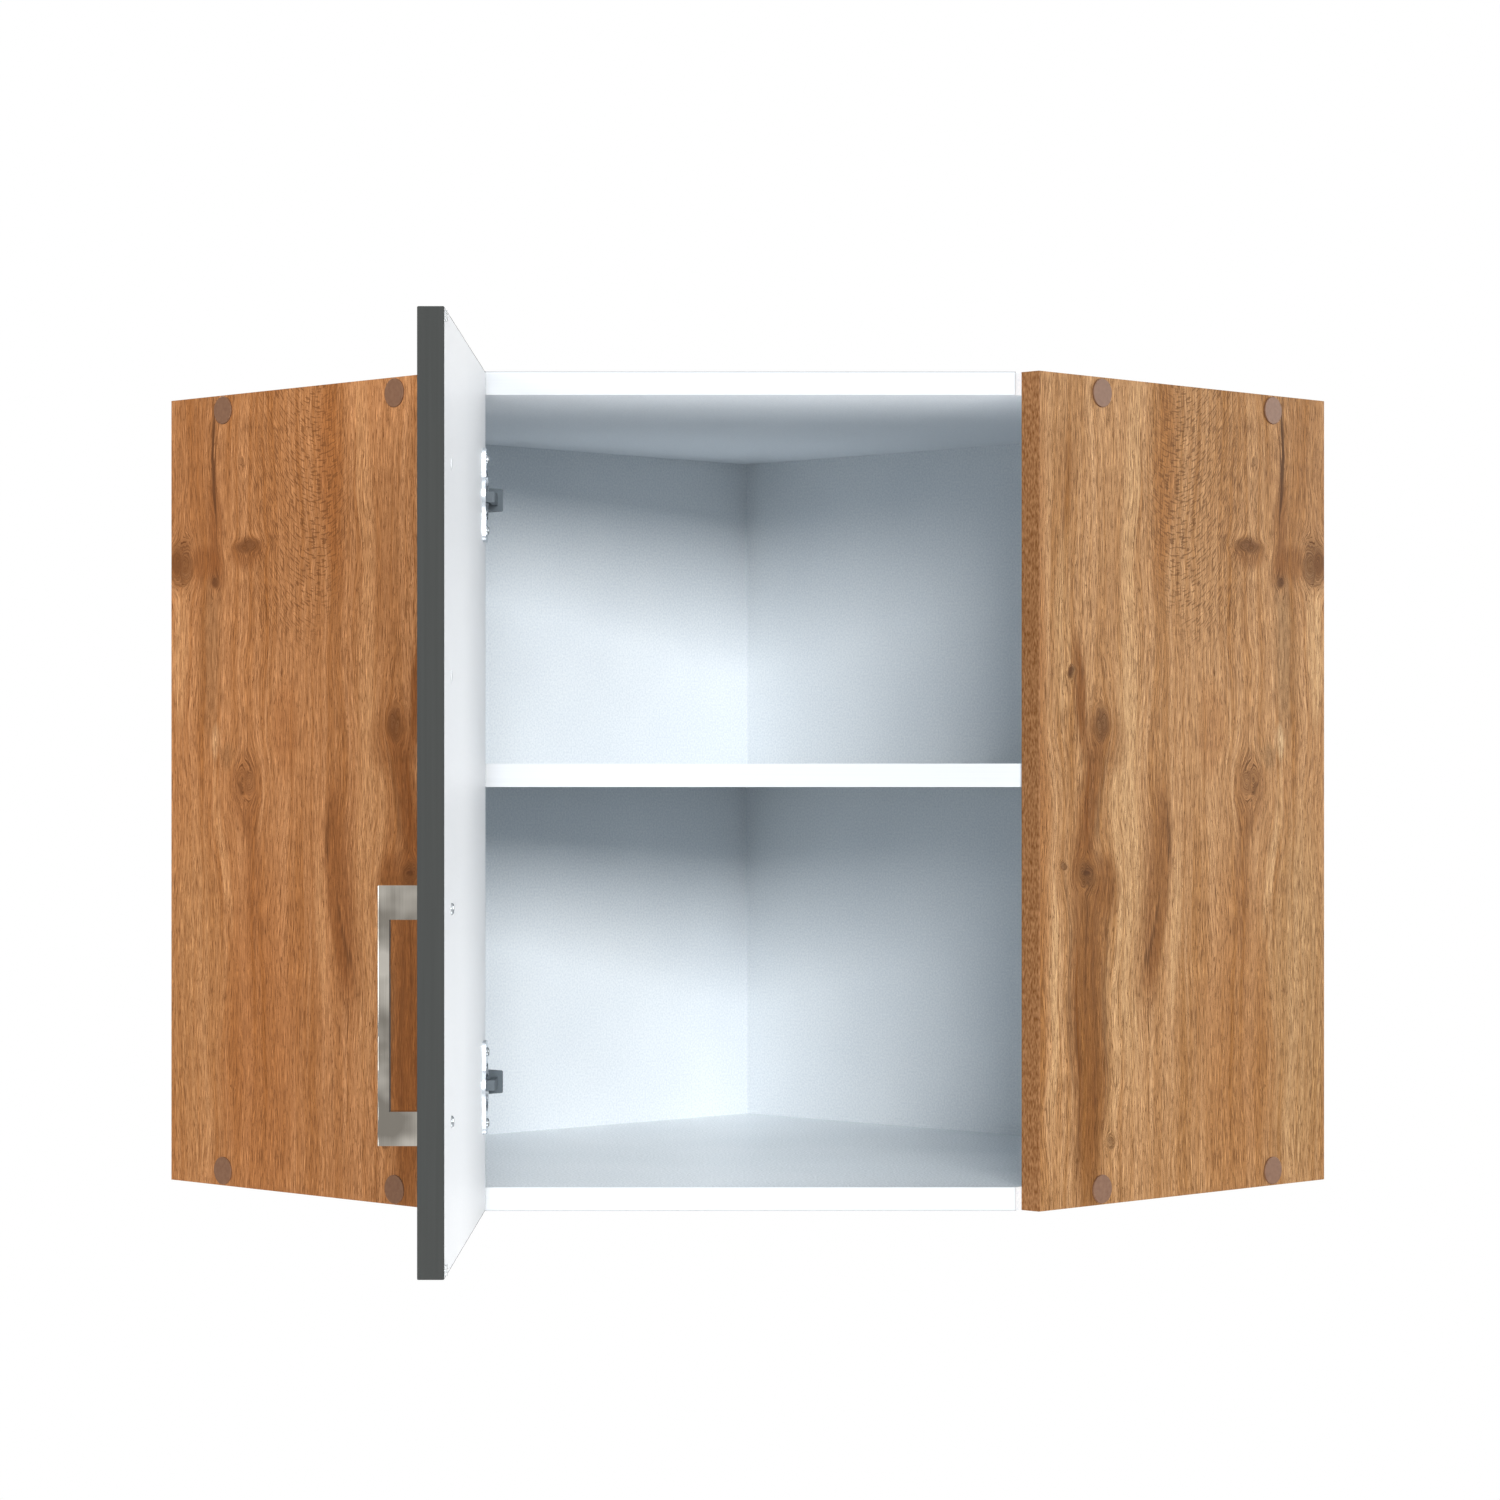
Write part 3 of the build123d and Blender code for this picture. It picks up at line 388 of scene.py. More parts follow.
tone.node.color_ramp.elements[1].position = 0.65
tone.node.color_ramp.elements[1].color = linear("#ECF1F4")
texture = add(white, "ShaderNodeBump", {"Height": pearl, "Strength": 0.08, "Distance": 0.0002})
gloss = add(white, "ShaderNodeMapRange", {
    "Value": pearl, "From Min": DIP, "From Max": CREST, "To Min": 0.16, "To Max": 0.26,
})
surface = add(white, "ShaderNodeBsdfPrincipled", {
    "Base Color": tone, "Roughness": gloss, "IOR": 1.5, "Normal": texture,
})
add(white, "ShaderNodeOutputMaterial", {"Surface": surface})
dress(white_finish, "bottom_panel", "shelf", "back_panel_left", "back_panel_right")

# The top keeps the dull face of an unpolished press plate: nearly the same white with hardly any gloss.
matt_finish, matt = new_finish("white_matt_melamine_board")
place = add(matt, "ShaderNodeTexCoord").node.outputs["Object"]
pearl = add(matt, "ShaderNodeTexNoise", {"Vector": place, "Scale": PEARL, "Detail": 1.0})
tone = add(matt, "ShaderNodeMix", {
    "Factor": pearl, "A": linear("#DCE4EC"), "B": linear("#FAFDFF"),
}, data_type="RGBA")
texture = add(matt, "ShaderNodeBump", {"Height": pearl, "Strength": 0.08, "Distance": 0.0002})
surface = add(matt, "ShaderNodeBsdfPrincipled", {
    "Base Color": tone, "Roughness": 0.7, "IOR": 1.5, "Specular IOR Level": 0.2, "Normal": texture,
})
add(matt, "ShaderNodeOutputMaterial", {"Surface": surface})
dress(matt_finish, "top_panel")


# White edging
# The front edges of the top, bottom and shelf carry a 1 mm strip of white ABS, glued on and trimmed flush
# with the faces, so that its arrises stay square.

# Extruded ABS: a clean cool white with faint lines along its length. It is set a shade darker than the
# boards, as painted shade against the strong light on these front edges.
lipping_finish, lipping = new_finish("white_abs_edging")
place = add(lipping, "ShaderNodeTexCoord").node.outputs["Object"]
repeats = (METRE / 170, METRE / 170, METRE / 1.1)
line_at = add(lipping, "ShaderNodeVectorMath", {0: place, 1: repeats}, operation="MULTIPLY")
line = add(lipping, "ShaderNodeTexNoise", {"Vector": line_at, "Scale": 1.0, "Detail": 2.0})
tone = add(lipping, "ShaderNodeValToRGB", {"Fac": line})
tone.node.color_ramp.elements[0].color = linear("#C8CDD2")
tone.node.color_ramp.elements[1].color = linear("#D0D4D8")
# A darker line 0.6 mm wide along the outermost arrises, at the cabinet's top and underside, is painted
# shade on the square edges.
MIDDLE_RISE = 286.5
ARRIS_SHADE_WIDTH = 0.6
arris_shade_from = (MIDDLE_RISE - ARRIS_SHADE_WIDTH) / METRE
arris_rise = add(lipping, "ShaderNodeSeparateXYZ", {0: place}).node.outputs["Z"]
middle_at = MIDDLE_RISE / METRE
from_mid_rise = add(lipping, "ShaderNodeMath", {0: arris_rise, 1: middle_at}, operation="SUBTRACT")
from_mid_rise = add(lipping, "ShaderNodeMath", {0: from_mid_rise}, operation="ABSOLUTE")
arris_shade = add(lipping, "ShaderNodeMath", {0: from_mid_rise, 1: arris_shade_from}, operation="GREATER_THAN")
tone = add(lipping, "ShaderNodeMix", {
    "Factor": arris_shade, "A": tone, "B": linear("#A2A6AA"),
}, data_type="RGBA")
drawn = add(lipping, "ShaderNodeBump", {"Height": line, "Strength": 0.1, "Distance": 0.0002})
surface = add(lipping, "ShaderNodeBsdfPrincipled", {
    "Base Color": tone, "Roughness": 0.65, "IOR": 1.54, "Normal": drawn,
})
add(lipping, "ShaderNodeOutputMaterial", {"Surface": surface})
dress(lipping_finish, "top_edge", "bottom_edge", "shelf_edge")


# Fixings inside the boards
# Beech dowels place the boards, long steel screws pull the sides on to the top and bottom, and screws
# through the backs close the box. Plates with keyholes hang it, and steel pins carry the loose shelf.

# Zinc-plated steel: bright bluish grey from the barrel plating, with a mottle about 4.5 mm across that is
# duller in its darks.
zinc_finish, zinc = new_finish("zinc_plated_steel")
place = add(zinc, "ShaderNodeTexCoord").node.outputs["Object"]
mottle = add(zinc, "ShaderNodeTexNoise", {"Vector": place, "Scale": METRE / 4.5, "Detail": 2.0})
tone = add(zinc, "ShaderNodeValToRGB", {"Fac": mottle})
tone.node.color_ramp.elements[0].position = 0.30
tone.node.color_ramp.elements[0].color = linear("#949A9E")
tone.node.color_ramp.elements[1].position = 0.70
tone.node.color_ramp.elements[1].color = linear("#B2B7BB")
dulled = add(zinc, "ShaderNodeMapRange", {
    "Value": mottle, "From Min": DIP, "From Max": CREST, "To Min": 0.16, "To Max": 0.09,
})
plated = add(zinc, "ShaderNodeBump", {"Height": mottle, "Strength": 0.03, "Distance": 0.0001})
surface = add(zinc, "ShaderNodeBsdfPrincipled", {
    "Base Color": tone, "Metallic": 1.0, "Roughness": dulled, "Normal": plated,
})
add(zinc, "ShaderNodeOutputMaterial", {"Surface": surface})
dress(zinc_finish, "carcass_screws_left", "carcass_screws_right")
dress(zinc_finish, "hanger_plates_left", "hanger_plates_right", "shelf_pins")

# A cross-head screw: a round blank with a domed head and a cross pressed into it, a rolled thread of ten
# turns and a drawn point. Sizes are in metres, and each screw is turned by its own chance amount.
screw_tree = bpy.data.node_groups.new("cross_head_screw", "GeometryNodeTree")
screw_tree.interface.new_socket("Places", in_out="INPUT", socket_type="NodeSocketGeometry")
for label in ("Head radius", "Head height", "Shank radius", "Length"):
    screw_tree.interface.new_socket(label, in_out="INPUT", socket_type="NodeSocketFloat")
screw_tree.interface.new_socket("Screws", in_out="OUTPUT", socket_type="NodeSocketGeometry")
given = add(screw_tree, "NodeGroupInput").node.outputs
blank = add(screw_tree, "GeometryNodeMeshCylinder", {
    "Vertices": 24, "Side Segments": 48, "Fill Segments": 3, "Radius": 1.0, "Depth": 1.0,
}, fill_type="TRIANGLE_FAN").node.outputs
spot = add(screw_tree, "GeometryNodeInputPosition")
spot_axes = add(screw_tree, "ShaderNodeSeparateXYZ", {0: spot}).node.outputs
# The first eighth of the blank becomes the head, and the rest the shank, which narrows in its last part.
BLANK_TOP = 0.5
HEAD_SHARE = 0.125
HEAD_CURVE = 0.75
HALF_TURN = 0.5
THREAD_TURNS = 10.0
THREAD_CUT = 0.25
POINT_START = 0.8
POINT_END = 0.12
ROUNDING = 0.001
down = add(screw_tree, "ShaderNodeMath", {0: BLANK_TOP, 1: spot_axes["Z"]}, operation="SUBTRACT")
head_deep = add(screw_tree, "ShaderNodeMapRange", {
    "Value": down, "From Max": HEAD_SHARE, "To Max": given["Head height"],
})
shank_deep = add(screw_tree, "ShaderNodeMapRange", {
    "Value": down, "From Min": HEAD_SHARE, "To Min": given["Head height"], "To Max": given["Length"],
})
in_head = add(screw_tree, "ShaderNodeMath", {0: down, 1: HEAD_SHARE + ROUNDING}, operation="LESS_THAN")
deep = add(screw_tree, "ShaderNodeMix", {"Factor": in_head, "A": shank_deep, "B": head_deep})
dome = add(screw_tree, "ShaderNodeMapRange", {
    "Value": down, "From Max": HEAD_SHARE, "To Min": HEAD_CURVE, "To Max": 0.0,
})
dome = add(screw_tree, "ShaderNodeMath", {0: dome, 1: dome}, operation="MULTIPLY")
dome = add(screw_tree, "ShaderNodeMath", {0: 1.0, 1: dome}, operation="SUBTRACT")
dome = add(screw_tree, "ShaderNodeMath", {0: dome, 1: 0.5}, operation="POWER")
head_out = add(screw_tree, "ShaderNodeMath", {0: dome, 1: given["Head radius"]}, operation="MULTIPLY")
angle = add(screw_tree, "ShaderNodeMath", {0: spot_axes["Y"], 1: spot_axes["X"]}, operation="ARCTAN2")
turns = add(screw_tree, "ShaderNodeMapRange", {
    "Value": down, "From Min": HEAD_SHARE, "To Max": THREAD_TURNS,
})
turns = add(screw_tree, "ShaderNodeMath", {0: angle, 1: 1 / math.tau, 2: turns}, operation="MULTIPLY_ADD")
thread = add(screw_tree, "ShaderNodeMath", {0: turns, 1: HALF_TURN}, operation="PINGPONG")
cut = -THREAD_CUT / HALF_TURN
thread = add(screw_tree, "ShaderNodeMath", {0: thread, 1: cut, 2: 1.0}, operation="MULTIPLY_ADD")
point = add(screw_tree, "ShaderNodeMapRange", {
    "Value": down, "From Min": POINT_START, "To Min": 1.0, "To Max": POINT_END,
})
shank_out = add(screw_tree, "ShaderNodeMath", {0: thread, 1: point}, operation="MULTIPLY")
shank_out = add(screw_tree, "ShaderNodeMath", {
    0: shank_out, 1: given["Shank radius"],
}, operation="MULTIPLY")
reach = add(screw_tree, "ShaderNodeMix", {"Factor": in_head, "A": shank_out, "B": head_out})
# The cross: the middle of the head and four arms on the blank's own axes go down by most of the head.
CROSS_MIDDLE = 0.4
CROSS_REACH = 0.9
CROSS_DEPTH = 0.7
OFF_AXIS = 0.02
flat_spot = add(screw_tree, "ShaderNodeVectorMath", {0: spot, 1: (1, 1, 0)}, operation="MULTIPLY")
from_axis = add(screw_tree, "ShaderNodeVectorMath", {0: flat_spot}, operation="LENGTH")
near_axis = add(screw_tree, "ShaderNodeMath", {0: from_axis, 1: CROSS_MIDDLE}, operation="LESS_THAN")
off_arm = add(screw_tree, "ShaderNodeMath", {0: spot_axes["X"], 1: spot_axes["Y"]}, operation="MULTIPLY")
on_arm = add(screw_tree, "ShaderNodeMath", {0: off_arm, 1: 0.0, 2: OFF_AXIS}, operation="COMPARE")
crossed = add(screw_tree, "ShaderNodeMath", {0: near_axis, 1: on_arm}, operation="MAXIMUM")
inside = add(screw_tree, "ShaderNodeMath", {0: from_axis, 1: CROSS_REACH}, operation="LESS_THAN")
crossed = add(screw_tree, "ShaderNodeMath", {0: crossed, 1: inside}, operation="MULTIPLY")
on_face = add(screw_tree, "ShaderNodeMath", {0: down, 1: ROUNDING}, operation="LESS_THAN")
crossed = add(screw_tree, "ShaderNodeMath", {0: crossed, 1: on_face}, operation="MULTIPLY")
pressed_in = add(screw_tree, "ShaderNodeMath", {
    0: given["Head height"], 1: CROSS_DEPTH,
}, operation="MULTIPLY")
deep = add(screw_tree, "ShaderNodeMath", {0: crossed, 1: pressed_in, 2: deep}, operation="MULTIPLY_ADD")
flat_spot = add(screw_tree, "ShaderNodeVectorMath", {0: flat_spot, "Scale": reach}, operation="SCALE")
lowered = add(screw_tree, "ShaderNodeMath", {0: deep, 1: -1.0}, operation="MULTIPLY")
lowered = add(screw_tree, "ShaderNodeCombineXYZ", {"Z": lowered})
turned = add(screw_tree, "ShaderNodeVectorMath", {0: flat_spot, 1: lowered}, operation="ADD")
screw = add(screw_tree, "GeometryNodeSetPosition", {"Geometry": blank["Mesh"], "Position": turned})
screw = add(screw_tree, "GeometryNodeSetShadeSmooth", {"Geometry": screw, "Selection": blank["Side"]})
out_of_head = add(screw_tree, "GeometryNodeInputNamedAttribute", {"Name": "axis"}, data_type="FLOAT_VECTOR")
aim = add(screw_tree, "FunctionNodeAlignRotationToVector", {"Vector": out_of_head}, axis="Z")
chance = add(screw_tree, "FunctionNodeRandomValue", {
    "Min": 0.0, "Max": math.tau, "Seed": 7,
}, data_type="FLOAT")
spin = add(screw_tree, "FunctionNodeAxisAngleToRotation", {"Axis": (0, 0, 1), "Angle": chance})
aim = add(screw_tree, "FunctionNodeRotateRotation", {
    "Rotation": aim, "Rotate By": spin,
}, rotation_space="LOCAL")
placed = add(screw_tree, "GeometryNodeInstanceOnPoints", {
    "Points": given["Places"], "Instance": screw, "Rotation": aim,
})
placed = add(screw_tree, "GeometryNodeRealizeInstances", {"Geometry": placed})
placed = add(screw_tree, "GeometryNodeSetMaterial", {"Geometry": placed, "Material": zinc_finish})
add(screw_tree, "NodeGroupOutput", {"Screws": placed})
screw_inputs = {}
for item in screw_tree.interface.items_tree:
    if item.in_out == "INPUT":
        screw_inputs[item.name] = item.identifier


def drive_screws(node, body, sizes, heads):
    """Stands cross-head screws for a CAD node. Sizes are in mm, and heads lists places by their facing."""
    spots = []
    for axis, places in heads.items():
        spots += [(Vector(axis).normalized(), Vector(at) / METRE) for at in places]
    points = bpy.data.meshes.new(node)
    points.from_pydata([at for axis, at in spots], [], [])
    facing = points.attributes.new("axis", "FLOAT_VECTOR", "POINT")
    for row, (axis, at) in zip(facing.data, spots):
        row.vector = axis
    piece = bpy.data.objects.new(f"cross_head_{node}", points)
    scene.collection.objects.link(piece)
    maker = piece.modifiers.new("cross_head_screw", "NODES")
    maker.node_group = screw_tree
    for label, size in sizes.items():
        maker[screw_inputs[label]] = size / METRE
    finished = piece.evaluated_get(bpy.context.evaluated_depsgraph_get())
    made = bpy.data.meshes.new_from_object(finished)
    made.materials.pop(index=0)  # Set Material leaves an empty slot before its own
    piece.modifiers.remove(maker)
    piece.data = made
    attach(piece, body)
    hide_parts(node)


LEFT_WALL = (-1, 0, 0)
RIGHT_WALL = (0, 1, 0)
BACK_SCREW = {"Head radius": 4.0, "Head height": 2.4, "Shank radius": 2.0, "Length": 45.0}
BACK_SCREW_RISES = (8, 565)
FROM_CORNER = (100, 300, 500)
drive_screws("back_screws_left", "carcass", BACK_SCREW, {
    LEFT_WALL: [(0, -at, rise) for at in FROM_CORNER for rise in BACK_SCREW_RISES],
})
drive_screws("back_screws_right", "carcass", BACK_SCREW, {
    RIGHT_WALL: [(at, 0, rise) for at in FROM_CORNER for rise in BACK_SCREW_RISES],
})
CORNER_SCREW_RISES = (100, MIDDLE_RISE, 473)
drive_screws("corner_screws", "carcass", BACK_SCREW, {
    RIGHT_WALL: [(BOARD / 2, 0, rise) for rise in CORNER_SCREW_RISES],
})
HANGER_SCREW = {"Head radius": 3.3, "Head height": 1.6, "Shank radius": 1.6, "Length": 12.0}
HANGER_SCREW_RISES = (496, 546)
HANGERS_FROM_CORNER = (60, 540)
drive_screws("hanger_screws", "carcass", HANGER_SCREW, {
    LEFT_WALL: [(0, -at, rise) for at in HANGERS_FROM_CORNER for rise in HANGER_SCREW_RISES],
    RIGHT_WALL: [(at, 0, rise) for at in HANGERS_FROM_CORNER for rise in HANGER_SCREW_RISES],
})

# Turned beech: pale pinkish brown with darker ray flecks about 1.7 mm across.
beech_finish, beech = new_finish("turned_beech")
place = add(beech, "ShaderNodeTexCoord").node.outputs["Object"]
fleck = add(beech, "ShaderNodeTexNoise", {"Vector": place, "Scale": METRE / 1.7, "Detail": 2.0})
tone = add(beech, "ShaderNodeValToRGB", {"Fac": fleck})
tone.node.color_ramp.elements[0].color = linear("#B58B62")
tone.node.color_ramp.elements[1].color = linear("#D9B68E")
turned = add(beech, "ShaderNodeBump", {"Height": fleck, "Strength": 0.2, "Distance": 0.0003})
surface = add(beech, "ShaderNodeBsdfPrincipled", {"Base Color": tone, "Roughness": 0.6, "Normal": turned})
add(beech, "ShaderNodeOutputMaterial", {"Surface": surface})
dress(beech_finish, "dowels")


# Screw caps
# Four round caps on each side are moulded of brown polythene. They snap into the heads of the long screws
# and hide them.

# Moulded polythene: a soft greyish brown that turns paler where the low gloss catches the light.
cap_finish, cap = new_finish("moulded_brown_polythene")
place = add(cap, "ShaderNodeTexCoord").node.outputs["Object"]
mottle = add(cap, "ShaderNodeTexNoise", {"Vector": place, "Scale": METRE / 3.1, "Detail": 3.0})
tone = add(cap, "ShaderNodeValToRGB", {"Fac": mottle})
tone.node.color_ramp.elements[0].position = 0.25
tone.node.color_ramp.elements[0].color = linear("#64442F")
tone.node.color_ramp.elements[1].position = 0.75
tone.node.color_ramp.elements[1].color = linear("#74533D")
moulded = add(cap, "ShaderNodeBump", {"Height": mottle, "Strength": 0.2, "Distance": 0.0004})
surface = add(cap, "ShaderNodeBsdfPrincipled", {
    "Base Color": tone, "Roughness": 0.5, "IOR": 1.5, "Specular IOR Level": 0.25, "Normal": moulded,
})
add(cap, "ShaderNodeOutputMaterial", {"Surface": surface})
dress(cap_finish, "screw_caps_left", "screw_caps_right")


# Door
# The door is a 16 mm board, graphite on the front and white on the back, with a graphite ABS strip round
# all four edges. It hangs on two hinges at the left side and stands open at rest.

# Graphite melamine outside, white melamine inside: both fine-textured, the dark one a dull matt.
door_finish, door = new_finish("graphite_melamine_board")
place = add(door, "ShaderNodeTexCoord").node.outputs["Object"]
pearl = add(door, "ShaderNodeTexNoise", {"Vector": place, "Scale": PEARL, "Detail": 1.0})
cloud = add(door, "ShaderNodeTexNoise", {"Vector": place, "Scale": METRE / 125, "Detail": 2.0})
speckle = add(door, "ShaderNodeMix", {"Factor": PEARL_SHARE, "A": cloud, "B": pearl})
dark = add(door, "ShaderNodeMix", {
    "Factor": pearl, "A": linear("#3A3C3B"), "B": linear("#424443"),
}, data_type="RGBA")
pale = add(door, "ShaderNodeMix", {
    "Factor": speckle, "A": linear("#E4E8EC"), "B": linear("#FAFBFC"),
}, data_type="RGBA")
# The board's middle plane lies where x + y is -264.65 mm with the door at rest.
MIDDLE_PLANE = -264.65
through = add(door, "ShaderNodeVectorMath", {0: place, 1: (1, 1, 0)}, operation="DOT_PRODUCT")
inner = add(door, "ShaderNodeMath", {0: through, 1: MIDDLE_PLANE / METRE}, operation="GREATER_THAN")
tone = add(door, "ShaderNodeMix", {"Factor": inner, "A": dark, "B": pale}, data_type="RGBA")
texture = add(door, "ShaderNodeBump", {"Height": pearl, "Strength": 0.1, "Distance": 0.0002})
# The graphite face is rougher than the white one all over.
GRAPHITE_ROUGHER = 0.3
gloss = add(door, "ShaderNodeMapRange", {
    "Value": pearl, "From Min": DIP, "From Max": CREST, "To Min": 0.38, "To Max": 0.48,
})
dulled = add(door, "ShaderNodeMath", {0: gloss, 1: GRAPHITE_ROUGHER}, operation="ADD")
gloss = add(door, "ShaderNodeMix", {"Factor": inner, "A": dulled, "B": gloss})
surface = add(door, "ShaderNodeBsdfPrincipled", {
    "Base Color": tone, "Roughness": gloss, "IOR": 1.5, "Specular IOR Level": 0.35, "Normal": texture,
})
add(door, "ShaderNodeOutputMaterial", {"Surface": surface})
dress(door_finish, "door_panel")

# Graphite ABS: dull and a shade darker than the board's face, with faint lines up its long strips.
trim_finish, trim = new_finish("graphite_abs_edging")
place = add(trim, "ShaderNodeTexCoord").node.outputs["Object"]
repeats = (METRE / 2, METRE / 2, METRE / 125)
line_at = add(trim, "ShaderNodeVectorMath", {0: place, 1: repeats}, operation="MULTIPLY")
line = add(trim, "ShaderNodeTexNoise", {"Vector": line_at, "Scale": 1.0, "Detail": 2.0})
tone = add(trim, "ShaderNodeMix", {
    "Factor": line, "A": linear("#313332"), "B": linear("#393B3A"),
}, data_type="RGBA")
drawn = add(trim, "ShaderNodeBump", {"Height": line, "Strength": 0.1, "Distance": 0.0002})
surface = add(trim, "ShaderNodeBsdfPrincipled", {
    "Base Color": tone, "Roughness": 0.75, "IOR": 1.54, "Specular IOR Level": 0.2, "Normal": drawn,
})
add(trim, "ShaderNodeOutputMaterial", {"Surface": surface})
dress(trim_finish, "door_edges")


# Handle
# A flat steel bar bent to a bow and plated with nickel is the handle. Two screws through the door, driven
# from the inside, hold it.

# Satin nickel: warm grey metal brushed along the bar, so that reflections stretch across it. Brush marks
# are about 0.2 mm apart, drawn at 0.7 mm so that they show. The bar is a little wavy along its length.
BRUSH_SHARE = 0.06
nickel_finish, nickel = new_finish("satin_nickel_plate")
place = add(nickel, "ShaderNodeTexCoord").node.outputs["Object"]
tones = []
for wide, tall, detail in ((0.7, 50, 2.0), (167, 33.3, 1.0), (33.3, 29.4, 2.0)):
    repeats = (METRE / wide, METRE / wide, METRE / tall)
    scaled = add(nickel, "ShaderNodeVectorMath", {0: place, 1: repeats}, operation="MULTIPLY")
    tones.append(add(nickel, "ShaderNodeTexNoise", {"Vector": scaled, "Scale": 1.0, "Detail": detail}))
brush, wave, cloud = tones
# Soft light and dark clouds in the metal's colour are painted reflections, laid over fine brush marks.
brush_and_painted_reflections = add(nickel, "ShaderNodeMath", {0: brush, 1: BRUSH_SHARE, 2: cloud}, operation="MULTIPLY_ADD")
tone = add(nickel, "ShaderNodeValToRGB", {"Fac": brush_and_painted_reflections})
tone.node.color_ramp.elements[0].position = 0.40
tone.node.color_ramp.elements[0].color = linear("#7F7A72")
tone.node.color_ramp.elements[1].position = 0.66
tone.node.color_ramp.elements[1].color = linear("#B9B4AB")
wavy = add(nickel, "ShaderNodeBump", {"Height": wave, "Strength": 1.0, "Distance": 0.003})
brushed = add(nickel, "ShaderNodeBump", {
    "Height": brush, "Strength": 0.05, "Distance": 0.0001, "Normal": wavy,
})
satin = add(nickel, "ShaderNodeMapRange", {
    "Value": brush, "From Min": DIP, "From Max": CREST, "To Min": 0.07, "To Max": 0.11,
})
surface = add(nickel, "ShaderNodeBsdfPrincipled", {
    "Base Color": tone, "Metallic": 1.0, "Roughness": satin, "Normal": brushed,
})
add(nickel, "ShaderNodeOutputMaterial", {"Surface": surface})
dress(nickel_finish, "handle")
DOOR_INSIDE = (1, 1, 0)
HANDLE_SCREW = {"Head radius": 3.7, "Head height": 1.6, "Shank radius": 2.0, "Length": 26.6}
HANDLE_SCREW_AT = (564.85, -815.95)
HANDLE_SCREW_RISES = (88.6, 216.6)
drive_screws("handle_screws", "door", HANDLE_SCREW, {
    DOOR_INSIDE: [(*HANDLE_SCREW_AT, rise) for rise in HANDLE_SCREW_RISES],
})


# Plugs and pads on the door
# White plugs fill the two holes drilled for the other hand, and clear pads on the free corners of the
# door soften its closing against the top and bottom.

# Moulded white plastic: a shade greyer and duller than the board round it.
plug_finish, plug = new_finish("moulded_white_plastic")
place = add(plug, "ShaderNodeTexCoord").node.outputs["Object"]
mottle = add(plug, "ShaderNodeTexNoise", {"Vector": place, "Scale": METRE / 2, "Detail": 2.0})
tone = add(plug, "ShaderNodeMix", {
    "Factor": mottle, "A": linear("#CDD1D5"), "B": linear("#D8DBDE"),
}, data_type="RGBA")
moulded = add(plug, "ShaderNodeBump", {"Height": mottle, "Strength": 0.1, "Distance": 0.0002})
surface = add(plug, "ShaderNodeBsdfPrincipled", {
    "Base Color": tone, "Roughness": 0.6, "Specular IOR Level": 0.3, "Normal": moulded,
})
add(plug, "ShaderNodeOutputMaterial", {"Surface": surface})
dress(plug_finish, "hole_plugs")

# Cast clear polyurethane: see-through with a soft gloss, and a little milky.
pad_finish, pad = new_finish("cast_clear_polyurethane")
place = add(pad, "ShaderNodeTexCoord").node.outputs["Object"]
haze = add(pad, "ShaderNodeTexNoise", {"Vector": place, "Scale": METRE / 2, "Detail": 2.0})
tone = add(pad, "ShaderNodeMix", {
    "Factor": haze, "A": linear("#E6EAEC"), "B": linear("#F6F8F8"),
}, data_type="RGBA")
cast = add(pad, "ShaderNodeBump", {"Height": haze, "Strength": 0.15, "Distance": 0.0003})
surface = add(pad, "ShaderNodeBsdfPrincipled", {
    "Base Color": tone, "Roughness": 0.2, "IOR": 1.49, "Transmission Weight": 0.7, "Normal": cast,
})
add(pad, "ShaderNodeOutputMaterial", {"Surface": surface})
dress(pad_finish, "door_bumpers")


# Hinges
# Two cup hinges: a pressed cup let into the door, a channel arm on a mounting plate screwed to the left
# side, a pin between them and a leaf spring that snaps the door shut. Cups are bright, and arms and plates
# are dull.

# Nickel-plated pressed steel: bright with a soft satin spread, and drawing marks about 4 mm across.
bright_finish, bright = new_finish("nickel_plated_pressed_steel")
place = add(bright, "ShaderNodeTexCoord").node.outputs["Object"]
drawing = add(bright, "ShaderNodeTexNoise", {"Vector": place, "Scale": METRE / 3.8, "Detail": 3.0})
tone = add(bright, "ShaderNodeMix", {
    "Factor": drawing, "A": linear("#C2CAD2"), "B": linear("#DCE1E6"),
}, data_type="RGBA")
marks = add(bright, "ShaderNodeBump", {"Height": drawing, "Strength": 0.04, "Distance": 0.0001})
cloudy = add(bright, "ShaderNodeMapRange", {
    "Value": drawing, "From Min": DIP, "From Max": CREST, "To Min": 0.22, "To Max": 0.32,
})
surface = add(bright, "ShaderNodeBsdfPrincipled", {
    "Base Color": tone, "Metallic": 1.0, "Roughness": cloudy, "Normal": marks,
})
add(bright, "ShaderNodeOutputMaterial", {"Surface": surface})
dress(bright_finish, "hinge_cup_top", "hinge_cup_bottom", "hinge_springs", "hinge_pins")

